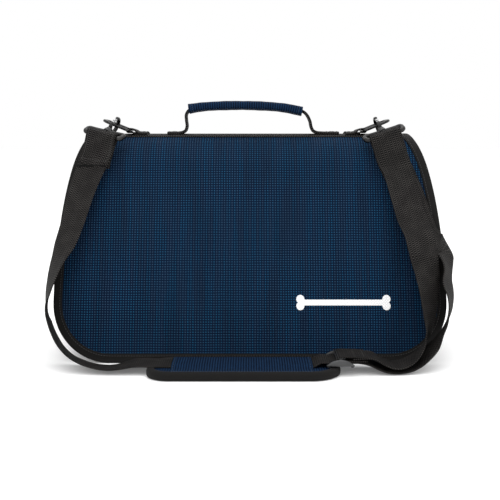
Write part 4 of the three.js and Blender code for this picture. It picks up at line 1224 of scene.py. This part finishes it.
class Hook:
    """A hook's own frame, with its origin at the middle of its strap loop's bar.

    a runs along the hook to its bowl. u runs along the bar, and w out of the loop. g runs towards the
    gate, and z out of the bowl's plane."""

    def __init__(self, side, sign, bar_x, centre, bar_hint):
        self.side = side
        self.centre = np.array(centre, float)
        grip = np.array([bar_x + sign * GRIP_ALONG * math.cos(RING_TILT), -RING_HALF_Y,
                         RING_BAR_Z + GRIP_ALONG * math.sin(RING_TILT)])
        self.reach = float(np.linalg.norm(grip - self.centre))
        self.a = unit(grip - self.centre)
        self.u = self.square_to_hook(bar_hint)
        self.w = np.cross(self.u, self.a)
        self.g = -np.cross(self.a, self.square_to_hook((0.88, sign * 0.24, sign * 0.42)))
        self.z = np.cross(self.g, self.a)

    def square_to_hook(self, hint):
        hint = np.array(hint, float)
        return unit(hint - (hint @ self.a) * self.a)

    def in_loop(self, points):
        """Points given as (along the bar, along the hook, out of the link)."""
        return np.array([self.centre + x * self.u + y * self.a + z * self.w for x, y, z in points])

    def in_claw(self, points):
        """Points given as (towards the gate, along the hook, out of the bowl's plane)."""
        return np.array([self.centre + x * self.g + y * self.a + z * self.z for x, y, z in points])


def lathed(name, hook, across, rows):
    """A round part on the hook's axis, from rows of (place along the hook, radius)."""
    line = [hook.centre + y * hook.a for y, _ in rows]
    return sweep(name, line, across, ellipse(1, 1, 20), GUNMETAL, scales=[r for _, r in rows])


def build_hook(hook):
    side = hook.side
    # strap loop: a long rounded link, with the swivel's hub in its far side
    corner = 4.0
    hub_y = LOOP_RISE + 3
    link = []
    bar_end = LOOP_HALF - corner
    for x, y, start in ((bar_end, corner, -0.5), (bar_end, hub_y - corner, 0),
                        (-bar_end, hub_y - corner, 0.5), (-bar_end, corner, 1)):
        link += [(x + corner * math.cos(start * math.pi + t), y + corner * math.sin(start * math.pi + t), 0)
                 for t in np.linspace(0, math.pi / 2, 7)]
    line = hook.in_loop(catmull(link + link[:1], 110)[:-1])
    fat = 1 + LOOP_END_FAT * np.clip((np.abs((line - hook.centre) @ hook.u) - LOOP_HALF + 6) / 4, 0, 1)
    body = sweep(f"{side}_loop_link", line, hook.w, ellipse(LOOP_ROD, LOOP_ROD * 0.96, 14),
                 GUNMETAL, closed=True, scales=fat)
    hub_rows = [(-2.6, 3.6), (-2.3, 4.5), (-1.2, HUB_R), (1.2, HUB_R), (2.3, 4.5), (2.6, 3.6)]
    hub = lathed(f"{side}_loop_hub", hook, hook.u, [(hub_y + y, r) for y, r in hub_rows])
    piece = join(f"{side}_hook_loop_cast", [body, hub], "strap")
    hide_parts(f"{side}_hook_loop")

    # claw: a round-backed hook on a collar and pin
    base = hub_y + 6.3
    centre_r = BOWL_R + CLAW_W / 2
    arc = [(centre_r * math.cos(t), hook.reach + centre_r * math.sin(t), 0)
           for t in np.linspace(-0.05, math.pi, 22)]
    shank = [(-centre_r, y, 0) for y in np.linspace(hook.reach - 2.5, base + 9, 5)]
    foot = [(-centre_r + 0.7, base + 5.8, 0), (-5.6, base + 2.9, 0), (0, base + 1.9, 0),
            (5.6, base + 2.9, 0), (centre_r - 0.9, base + 4.9, 0)]
    line = hook.in_claw(catmull(arc + shank + foot, 130))
    grow = np.interp(np.arange(len(line)), [0, 5, 30, 80, 108, len(line) - 8, len(line) - 1],
                     [0.62, 0.9, 1.05, 1.0, 1.2, 1.05, 0.8])
    claw = sweep(f"{side}_claw_bow", line, hook.z, ellipse(*CLAW_SECTION, 16, 0.8), GUNMETAL, scales=grow)
    head = [(-2.1, 2.2), (-1.9, 3.3), (-1.2, 3.4), (-0.9, 2.4), (-0.6, 1.9)]
    cup = [(-3.2, 1.9), (-3.0, 3.6), (-1.6, 4.3), (0, 4.4), (1.8, 3.7), (3.2, 2.2)]
    collar_rows = [(LOOP_RISE + y, r) for y, r in head] + [(base + y, r) for y, r in cup]
    collar = lathed(f"{side}_claw_collar", hook, hook.z, collar_rows)
    piece = sharpen(join(f"{side}_hook_claw_cast", [claw, collar], f"{side}_claw"), 55)
    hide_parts(f"{side}_hook_claw")

    # gate: a bright sprung lever with a thumb nub
    low_y, high_y = base + 5.9, hook.reach - 0.9
    gate_x = centre_r - 0.2
    gate_line = hook.in_claw([(gate_x - 0.25 * math.sin(math.pi * k / 11), y, 0)
                              for k, y in enumerate(np.linspace(low_y, high_y, 12))])
    shape = [(1, 0.8), (1, 1.0)] + [(0.92, 1.0)] * 8 + [(1, 1.0), (0.9, 0.75)]
    gate = sweep(f"{side}_gate_lever", gate_line, hook.z, ellipse(1.75, 1.05, 14, 0.6), BRIGHT_STEEL,
                 scales=shape)
    middle = low_y + 0.42 * (high_y - low_y)
    nub_line = hook.in_claw([(gate_x + x, middle, 0) for x in (0, 1.2, 2.0, 2.4)])
    nub = sweep(f"{side}_gate_nub", nub_line, hook.z, ellipse(1.5, 1.5, 14), BRIGHT_STEEL,
                scales=[1, 1.05, 0.95, 0.6])
    piece = sharpen(join(f"{side}_hook_gate_lever", [gate, nub], f"{side}_gate"), 55)
    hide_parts(f"{side}_hook_gate")


LEFT_HOOK = Hook("left", -1, LEFT_BAR_X, (-178.5, -53, 266), (0.948, -0.243, -0.205))
RIGHT_HOOK = Hook("right", 1, RIGHT_BAR_X, (163.5, -53, 266), (0.953, 0.03, 0.3))


# ---- shoulder strap -------------------------------------------------------------------------
PAD = {"x": -7.0, "y": -157.0, "length": 218.0, "width": 72.0, "corner": 26.0, "right_corner": 35.0,
       "foam": 8.2}
STRAP_Y = -150.0
PAD_WEB_Z = 9.4
SLIDER_X = 101.0
SLIDER_WEB_Z = 13.8
SLIDER_LAYER = 4.35
SLIDER_BAR = 1.5


def leaning(towards_middle, degrees, lift=0):
    """The webbing's width: flat on the panel at 0 degrees, edge-on beside the bag at 90.

    lift raises its front edge."""
    turn = math.radians(degrees)
    return (towards_middle * math.cos(turn), -math.sin(turn), math.sin(math.radians(lift)))


def over_bar(hook, across, down, before, after):
    """Webbing that comes up behind a hook's bar, folds over it and runs down in front.

    before and after list how far below the bar each point is, and how far behind it."""
    down = np.array(down)
    down = unit(down - (down @ hook.u) * hook.u)
    front = unit(np.cross(across, down))
    front = -front if front[1] > 0 else front
    radius = LOOP_ROD + 0.3 + STRAP_T / 2 + 0.6

    def row(below, behind):
        return (*(hook.centre + down * below - front * behind), *across)

    fold = [row(-radius * math.sin(t), radius * math.cos(t)) for t in np.linspace(0, math.pi, 7)]
    return [row(*place) for place in before] + fold + [row(*place) for place in after]


def strap_rows():
    """The webbing's run: (x, y, z, and the way its width points), from the left hook to the slider."""
    left_top = over_bar(LEFT_HOOK, LEFT_HOOK.u, (-0.36, -0.1, -0.93), ((38, 0.4), (26, 0.6), (13, 1.6)),
                        ((13, -2.6), (26, -2.4)))
    left_side = [
        (-192, -61.5, 227, 16), (-203, -71.5, 196, 23), (-209.5, -82, 168.5, 32), (-218, -92, 141, 38),
        (-227, -99.5, 118.7, 56), (-232, -103.5, 104, 63), (-236, -106, 89, 69), (-237.5, -111, 74, 74),
        (-235.5, -120.5, 60, 81, 4), (-231.5, -125, 48, 83, 8), (-226, -129.5, 37, 84, 10),
        (-218, -135.5, 26, 85, 11), (-207, -141, 16.5, 86, 11), (-194, -145, 10, 88, 10),
        (-180, -148, 6, 90, 9), (-165, -149.5, 3.9, 90, 7), (-152, STRAP_Y, 4.6, 90, 5),
        (-141, STRAP_Y, 7.2, 90, 2), (-131, STRAP_Y, PAD_WEB_Z, 90), (-100, STRAP_Y, PAD_WEB_Z, 90),
        (0, STRAP_Y, PAD_WEB_Z, 90), (60, STRAP_Y, PAD_WEB_Z, 90), (70.5, STRAP_Y, PAD_WEB_Z, 90),
        (79.5, STRAP_Y, SLIDER_WEB_Z, 90), (90, STRAP_Y, SLIDER_WEB_Z, 90),
        (106, STRAP_Y, SLIDER_WEB_Z, 90), (122, STRAP_Y, SLIDER_WEB_Z, 90),
        (133, STRAP_Y, 11.6, 90), (144, STRAP_Y, 6.4, 90),
        (155, STRAP_Y, 2.6, 90), (168, -149.5, 1.9, 90), (182, -147, 4.2, 88), (195, -143, 10.5, 87),
        (207.5, -138, 22, 84)]
    right_outer = [
        (219.5, -131.5, 38, 80), (227, -126, 50, 76), (232, -119, 63, 72), (234.5, -110, 78, 68),
        (233, -103, 94, 62), (234, -98, 109, 64), (233, -93, 121, 58), (229, -87.8, 130, 48),
        (221, -91.2, 137.5, 38), (213.5, -90, 146, 28), (206.5, -84.5, 155, 20), (199.5, -76, 172, 12),
        (190.5, -66, 198, 8)]
    right_top = over_bar(RIGHT_HOOK, -RIGHT_HOOK.u, (0.36, -0.1, -0.93), ((30, 1.2), (14, 2.2)),
                         ((14, -2.6), (30, -2.8)))
    web_top = SLIDER_WEB_Z + SLIDER_LAYER
    right_front = [
        (177.5, -63, 225, 10), (185, -75, 196, 12), (193, -88.5, 165, 12), (198.5, -100.5, 150, 14),
        (200.5, -108, 137, 18), (202, -112.5, 128, 21), (204.5, -114, 117, 25), (206.5, -117, 104, 33),
        (208, -119.5, 88, 43), (208.5, -122, 73, 50), (208, -125.5, 60, 57), (206.5, -130, 47, 64),
        (202.5, -135.5, 35, 71), (196, -140, 24, 79), (186.5, -144.5, 14.5, 85), (175, -148, 8.5, 90),
        (163, STRAP_Y, 7.2, 90), (151, STRAP_Y, 11.4, 90), (139, STRAP_Y, web_top, 90),
        (SLIDER_X + 14, STRAP_Y, web_top, 90)]

    def placed(way, run):
        return [(*p[:3], *leaning(way, *p[3:])) for p in run]

    return left_top + placed(1, left_side) + placed(-1, right_outer) + right_top + placed(-1, right_front)


STRAP_END_Z = 229.0
STRAP_END_T = 1.4
STRAP_STEPS = 570
END_SEAM = 15.5  # half the width of the seam that sews the strap's end down


def build_strap():
    rows = strap_rows()
    count = STRAP_STEPS
    line = catmull([row[:3] for row in rows], count)
    across = catmull([row[3:] for row in rows], count, centripetal=False)
    strap = sweep("strap_webbing_band", line, across, flat_profile(STRAP_W, STRAP_T), WEBBING, "strap")
    sharpen(strap, 60)
    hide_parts("strap_webbing")

    # the sewn-down end that shows in front, from the fold over the left hook's bar to its hem
    start = int(7 * count / (len(rows) - 1))
    stop = start + int(np.argmax(line[start:, 2] < STRAP_END_Z))
    tangent = tangents(line)
    side = across / np.linalg.norm(across, axis=1)[:, None]
    face = np.cross(tangent, side)
    face = face * -np.sign(face[:, 1:2])
    lift = STRAP_T / 2 + 0.75
    end_line = line[start:stop] + face[start:stop] * lift
    end_line[-1] -= face[stop] * 0.4
    patch = sweep("strap_end_patch", end_line, side[start:stop], flat_profile(STRAP_W - 0.6, STRAP_END_T),
                  WEBBING, "strap")
    reach = STRAP_W / 2 - 0.4
    # the hem across the patch's end: a small roll, coloured near-black as painted shadow under that step
    ends = [end_line[-1] - face[stop] * 0.15 + side[stop] * y for y in np.linspace(-reach, reach, 9)]
    shadow_hem = sweep("strap_end_hem_shadow", ends, tangent[stop], ellipse(1.25, 1.05, 12), HEM_SHADOW_BLACK, "strap")
    middle = line + face * (lift + 0.75)
    left, right = middle - side * END_SEAM, middle + side * END_SEAM
    first, last = stop - 26, stop - 4
    runs = [[left[last], right[last]], [left[first], right[first]],
            left[first:last + 1], right[first:last + 1]]
    seams = stitches("strap_end_stitches", runs, "strap", BLACK_THREAD, pitch=2.7, length=2.0, radius=0.28)


# ---- soft simulation ------------------------------------------------------------------------
PUFF_FRAMES = 20


def puff(piece, voxel, pressure, cap, fixed_below):
    """Swells a closed mesh with Cloth, as stuffing does. No point moves more than cap millimetres."""
    scene = bpy.context.scene
    remesh = piece.modifiers.new("even", "REMESH")
    remesh.mode = "VOXEL"
    remesh.voxel_size = voxel * MM
    settle(piece)
    rest = np.array([v.co for v in piece.data.vertices], float)
    held = piece.vertex_groups.new(name="held")
    held.add([i for i, co in enumerate(rest) if co[2] < fixed_below * MM], 1.0, "REPLACE")
    cloth = piece.modifiers.new("stuffing", "CLOTH")
    cloth.settings.use_pressure = True
    cloth.settings.uniform_pressure_force = pressure
    cloth.settings.quality = 6
    cloth.settings.mass = 0.25
    cloth.settings.tension_stiffness = 18
    cloth.settings.compression_stiffness = 18
    cloth.settings.bending_stiffness = 1.2
    cloth.settings.effector_weights.gravity = 0
    cloth.settings.vertex_group_mass = "held"
    for step in range(1, PUFF_FRAMES + 1):
        scene.frame_set(step)
    settle(piece)
    scene.frame_set(1)
    shift = np.array([v.co for v in piece.data.vertices], float) - rest
    size = np.linalg.norm(shift, axis=1)[:, None]
    shift = shift * np.minimum(1.0, cap * MM / np.maximum(size, 1e-9))
    piece.data.vertices.foreach_set("co", (rest + shift).ravel())
    piece.data.update()


def settle(piece):
    """Applies a piece's modifiers to its mesh."""
    evaluated = piece.evaluated_get(bpy.context.evaluated_depsgraph_get())
    mesh = bpy.data.meshes.new_from_object(evaluated)
    shade_smooth(mesh)
    old = piece.data
    piece.modifiers.clear()
    piece.data = mesh
    bpy.data.meshes.remove(old)


# ---- shoulder pad ---------------------------------------------------------------------------
def rounded_plan(half_x, half_y, radius, right, steps=14):
    """Points round a rectangle with round corners, as (x, y). right is the right-hand corners' radius."""
    points = []
    for way_x, way_y, start in ((1, 1, 0), (-1, 1, 0.5), (-1, -1, 1), (1, -1, 1.5)):
        r = right if way_x > 0 else radius
        points += [(way_x * (half_x - r) + r * math.cos(start * math.pi + t),
                    way_y * (half_y - r) + r * math.sin(start * math.pi + t))
                   for t in np.linspace(0, math.pi / 2, steps)]
    return points


PILLOW_LEVELS = [(0.0, 3.0), (0.12, 1.0), (0.35, 0.0), (0.65, 0.0), (0.88, 1.0), (1.0, 3.0)]


def pillow(name, x, y, half_x, half_y, corner, right, low, high, material):
    """A closed slab with rolled edges, ready to swell."""
    points = [(x + px, y + py, low + share * (high - low)) for share, inset in PILLOW_LEVELS
              for px, py in rounded_plan(half_x - inset, half_y - inset, corner - inset, right - inset)]
    rows = len(PILLOW_LEVELS)
    return outward(mesh_piece(name, points, tube_faces(rows, len(points) // rows), material))


def build_pad():
    p = PAD
    half_x, half_y, foam = p["length"] / 2, p["width"] / 2, p["foam"]
    tuck = 1.6  # the foam ends this far inside its tape
    pad = pillow("shoulder_pad_foam", p["x"], p["y"], half_x - tuck, half_y - tuck, p["corner"] - tuck,
                 p["right_corner"] - tuck, 0.3, foam - 0.2, NAVY_PAD)
    puff(pad, voxel=3.6, pressure=3.0, cap=1.6, fixed_below=1.5)

    def pressed(_, y, z):
        """The webbing and its sleeve keep the top flat along the middle."""
        return max(FLOOR_Z + 0.15, min(z, foam + 1 - clamped((34 - abs(y - STRAP_Y)) / 8)))

    reshape(pad, pressed)
    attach(pad, "pad")
    soften(pad)
    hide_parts("shoulder_pad")

    # binding: black tape folded round the pad's rim, square to the rim at each point
    plan = np.array(rounded_plan(half_x, half_y, p["corner"], p["right_corner"], 16))
    rim = plan + np.array([p["x"], p["y"]])
    way_in = []
    for x, y in plan:
        corner = p["right_corner"] if x > 0 else p["corner"]
        way_in.append(-unit(np.array([math.copysign(max(0.0, abs(x) - (half_x - corner)), x),
                                      math.copysign(max(0.0, abs(y) - (half_y - corner)), y)])))
    over = [(9.0, 0.25), (8.6, 1.1), (7.0, 1.35), (4.0, 1.25), (2.0, 0.9), (0.7, -0.1), (0.05, -2.0)]
    under = [(0.0, 4.2), (0.05, 2.2), (0.6, 0.8), (2.0, 0.12), (7.0, 0.05), (9.0, 0.05), (9.0, 0.5),
             (2.6, 0.9), (1.4, 4.0)]
    section = [(inset, foam + up) for inset, up in over] + under + [(2.4, foam - 0.6)]
    grid = np.array([[(*(at + inward * inset), z) for inset, z in section]
                     for at, inward in zip(rim, way_in)])
    uv = uv_grid(distances(section), distances(plan)).reshape(-1, 2)
    faces = loop_faces(len(plan), len(section))
    tape = outward(mesh_piece("pad_binding_tape", grid.reshape(-1, 3), faces, TAPE, "pad", uv))
    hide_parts("pad_binding")
    run = [(*(at + inward * 7.2), foam + 1.2) for at, inward in zip(rim, way_in)]
    seam = stitches("pad_binding_stitches", [run + run[:1]], "pad", BLACK_THREAD, radius=0.26)


SLEEVE = {"low": -88.0, "high": 70.0, "half": 30.0}
SLEEVE_STEPS = 44


def build_sleeve():
    """The ribbed sleeve that holds the pad to the webbing, sewn down on both sides."""
    s = SLEEVE
    low, high, half = s["low"], s["high"], s["half"]
    foam, pad_y, steps = PAD["foam"], PAD["y"], SLEEVE_STEPS
    web_top = PAD_WEB_Z + STRAP_T / 2
    half_web = STRAP_W / 2
    # flat on the foam at its sides, and over the webbing between them
    over_web = [(-half_web - 0.9, foam + 1.1), (-half_web + 1.2, web_top + 0.75),
                (-half_web + 4, web_top + 0.9), (pad_y - STRAP_Y, web_top + 1.1),
                (half_web - 4, web_top + 0.9), (half_web - 1.2, web_top + 0.75),
                (half_web + 0.9, foam + 1.1)]
    section = [(0, pad_y - half, foam + 0.5), (0, pad_y - half + 3, foam + 0.75)]
    section += [(0, STRAP_Y + y, z) for y, z in over_web]
    section += [(0, pad_y + half - 1.2, foam + 0.95), (0, pad_y + half, foam + 0.6)]
    smooth = catmull(section, steps)
    girth = distances(smooth)
    inner, outer = [], []
    xs = np.linspace(low, high, 64)
    for x in xs:
        gather = 0.35 * math.sin(x / 13.0) * math.sin(math.pi * (x - low) / (high - low))
        lift = [gather * math.sin(math.pi * k / steps) * max(0.0, math.sin(k * 0.55 + x * 0.02))
                for k in range(steps + 1)]
        inner.append([(x, y, z - 0.15) for _, y, z in smooth])
        outer.append([(x, y, z + 0.75 + up) for (_, y, z), up in zip(smooth, lift)])
    uv = np.stack(np.broadcast_arrays(xs[:, None], girth[None, :]), axis=-1)
    sleeve = outward(shell("pad_sleeve_cloth", np.array(outer), np.array(inner), uv, NAVY_SLEEVE, "pad"))
    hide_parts("pad_sleeve")
    top = smooth + np.array([0, 0, 0.85])
    runs = [[(x, *top[k, 1:]) for x in (low + 2, high - 2)] for k in (2, steps - 2)]
    runs += [[(x, *row[1:]) for row in top[2:steps - 1]] for x in (low + 2.2, high - 2.2)]
    stitches("pad_sleeve_stitches", runs, "pad", NAVY_THREAD, radius=0.26)


# ---- slider ---------------------------------------------------------------------------------
SLIDER_REACH = 13.0
LENS_REACH = 15.2


def build_slider():
    end_z = SLIDER_WEB_Z - STRAP_T / 2 - 0.3 - SLIDER_BAR
    middle_z = SLIDER_WEB_Z + 3 * STRAP_T / 2 + 0.6 + SLIDER_BAR
    rail_y = STRAP_W / 2 + 2.4
    parts = []
    for x, z in ((-SLIDER_REACH, end_z), (SLIDER_REACH, end_z), (0, middle_z)):
        line = [(SLIDER_X + x, STRAP_Y + y, z) for y in np.linspace(-rail_y, rail_y, 12)]
        parts.append(sweep(f"slider_bar_{len(parts)}", line, (1, 0, 0), ellipse(1.9, SLIDER_BAR, 14, 0.8),
                           SLIDER_BLACK))
    # each rail is a lens: low at its ends, raised over the middle bar
    xs = np.linspace(-LENS_REACH, LENS_REACH, 40)
    bow = np.cos(xs / LENS_REACH * math.pi / 2)
    top = end_z + 0.8 + (middle_z - end_z - 0.3) * bow**0.8
    bottom = end_z - 0.3 + 0.35 * (1 - bow)
    lens = np.stack([np.where(np.abs(xs) > LENS_REACH - 1.2, 1.5, 2.0),
                     np.maximum((top - bottom) / 2, 0.8)], axis=-1)
    # the front rail is lighter grey, a painted highlight; the back rail is the plain black plastic
    for y, material in ((-rail_y, SLIDER_HIGHLIGHT_GREY), (rail_y, SLIDER_BLACK)):
        line = [(SLIDER_X + x, STRAP_Y + y, z) for x, z in zip(xs, (top + bottom) / 2)]
        parts.append(sweep(f"slider_rail_{len(parts)}", line, (0, 1, 0), ellipse(1, 1, 18, 0.7), material,
                           scales=lens))
    # grip ribs on the raised middle
    for k in range(-2, 3):
        z = middle_z + SLIDER_BAR + 0.5 - 0.125 * k**2
        line = [(SLIDER_X + 2.2 * k, STRAP_Y + y, z) for y in np.linspace(-rail_y + 1, rail_y - 1, 8)]
        parts.append(sweep(f"slider_rib_{k}", line, (1, 0, 0), ellipse(0.6, 0.7, 10), SLIDER_BLACK))
    slider = sharpen(join("tri_glide_moulded", parts, "glide"), 50)
    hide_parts("tri_glide")

    radius = SLIDER_BAR + 0.3 + STRAP_T / 2
    path = [(SLIDER_X + 30, middle_z - radius), (SLIDER_X + 12, middle_z - radius)]
    path += [(SLIDER_X - radius * math.sin(t), middle_z - radius * math.cos(t))
             for t in np.linspace(0, math.pi, 9)]
    path += [(SLIDER_X + 12, middle_z + radius), (SLIDER_X + 30, middle_z + radius - 0.9)]
    line = even(catmull([(x, STRAP_Y, z) for x, z in path], 90), 1.0)
    loop = sweep("strap_end_loop_band", line, (0, -1, 0), flat_profile(STRAP_W, STRAP_T), WEBBING, "glide")
    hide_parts("strap_end_loop")
    z = middle_z + radius + STRAP_T / 2 - 0.2
    runs = [[(SLIDER_X + x, STRAP_Y + y, z) for y in (-15, 15)] for x in (16, 26)]
    stitches("strap_end_loop_stitches", runs, "glide", BLACK_THREAD, radius=0.28)


# ---- inside ---------------------------------------------------------------------------------
def build_inside():
    low, high = (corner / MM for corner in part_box("base_board"))
    board = sharpen(pillow("base_board_cover", 0, 0, high.x, high.y, 14, 14, low.z, high.z, BOARD), 60)
    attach(board, "carrier")
    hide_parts("base_board")
    low, high = (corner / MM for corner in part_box("fleece_mat"))
    mat = pillow("fleece_mat_pile", 0, 0, high.x - 2, high.y - 2, 30, 30, low.z + 0.3, high.z - 1.5, FLEECE)
    puff(mat, voxel=6.0, pressure=4.0, cap=4.0, fixed_below=low.z + 2)

    def tufted(x, y, z):
        tuft = 0.5 * math.sin(x / 7.3 + 1.7 * math.sin(y / 11)) * math.cos(y / 8.1)
        return max(low.z, z + (tuft if z > low.z + 6 else 0))

    reshape(mat, tufted)
    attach(mat, "carrier")
    soften(mat)
    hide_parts("fleece_mat")


# ---- print ----------------------------------------------------------------------------------
PRINT_T = 0.12
BONE_PLACE = (111.0, 68.5)  # x, z
BONE_HALF = 56.0
SHAFT_HALF = 3.3
KNOB_R = 4.8
KNOB_RISE = 3.9


def build_print():
    """A plain bone shape, screen-printed on the front panel."""
    xs = BONE_HALF * np.sin(np.linspace(-math.pi / 2, math.pi / 2, 121))
    to_knob = np.abs(xs) - (BONE_HALF - KNOB_R)
    round_half = np.sqrt(np.maximum(KNOB_R**2 - to_knob**2, 0))
    upper = np.where(np.abs(to_knob) < KNOB_R, np.maximum(KNOB_RISE + round_half, SHAFT_HALF), SHAFT_HALF)
    notch = np.where(to_knob > 0, np.maximum(KNOB_RISE - round_half, 0), 0)
    rows = np.linspace(0, 1, 6)
    parts = []
    for half, way in (("upper", 1), ("lower", -1)):
        z = BONE_PLACE[1] + way * (notch[:, None] + (upper - notch)[:, None] * rows[None, :])
        x = np.broadcast_to((BONE_PLACE[0] + xs)[:, None], z.shape)
        lift = swell(x, x / half_width(z, SKIN_INSET), girth_at(z), -1)
        uv = np.stack([x, z], axis=-1)
        parts.append(outward(shell(f"bone_print_{half}", on_panel(x, z, lift + PRINT_T, -1),
                                   on_panel(x, z, lift + 0.02, -1), uv, PRINT)))
    piece = sharpen(join("bone_print", parts, "carrier"), 30)


# ---- floor and lights -----------------------------------------------------------------------
FLOOR_REACH = 14.0
FLOOR_GLOW = 0.12
FLOOR_DROP = -0.0002
LIGHT_TARGET = (0, 0, 0.12)
LIGHTS = [  # name, place, size, power, in metres and watts
    ("key", (-0.55, -1.7, 1.55), 1.3, 9.0),
    ("fill", (1.3, -1.3, 1.0), 1.5, 3.0),
    ("top", (0.0, -0.15, 2.1), 2.2, 26.0),
    ("rim", (0.3, 1.7, 1.3), 1.5, 5.0),
]


def build_floor():
    """A white studio floor, glowing just enough to meet the white background without a line."""
    r = FLOOR_REACH
    mesh = bpy.data.meshes.new("floor")
    mesh.from_pydata([(-r, -r, 0), (r, -r, 0), (r, r, 0), (-r, r, 0)], [], [(0, 1, 2, 3)])
    floor = bpy.data.objects.new("floor", mesh)
    bpy.context.scene.collection.objects.link(floor)
    pale = Surface("pale_floor", Roughness=0.6, Base_Color=(0.9, 0.9, 0.9, 1), Specular_IOR_Level=0.1,
                   Emission_Color=(1, 1, 1, 1), Emission_Strength=FLOOR_GLOW)
    mesh.materials.append(pale.material)
    floor.location.z = FLOOR_DROP


def build_lights():
    scene = bpy.context.scene
    world = bpy.data.worlds.new("studio")
    world.use_nodes = True
    world.node_tree.nodes["Background"].inputs[0].default_value = (1.0, 1.0, 1.0, 1)
    scene.world = world
    target = Vector(LIGHT_TARGET)
    for name, place, size, power in LIGHTS:
        light = bpy.data.objects.new(name, bpy.data.lights.new(name, "AREA"))
        light.data.size = size
        light.data.energy = power
        light.location = place
        light.rotation_euler = (target - Vector(place)).to_track_quat("-Z", "Y").to_euler()
        scene.collection.objects.link(light)
    scene.view_settings.view_transform = "Standard"


# ---- assembly -------------------------------------------------------------------------------
for panel_side, panel_sign in (("front", -1), ("back", 1)):
    build_panel(f"{panel_side}_panel_shell", panel_sign)
    build_binding(f"{panel_side}_binding_tape", panel_sign)
build_gusset()
build_end("left", -1)
build_end("right", 1)
build_ridge()
build_handle()
build_ring("left", -1, LEFT_BAR_X)
build_ring("right", 1, RIGHT_BAR_X)
build_hook(LEFT_HOOK)
build_hook(RIGHT_HOOK)
build_strap()
build_pad()
build_sleeve()
build_slider()
build_inside()
build_print()
build_floor()
build_lights()
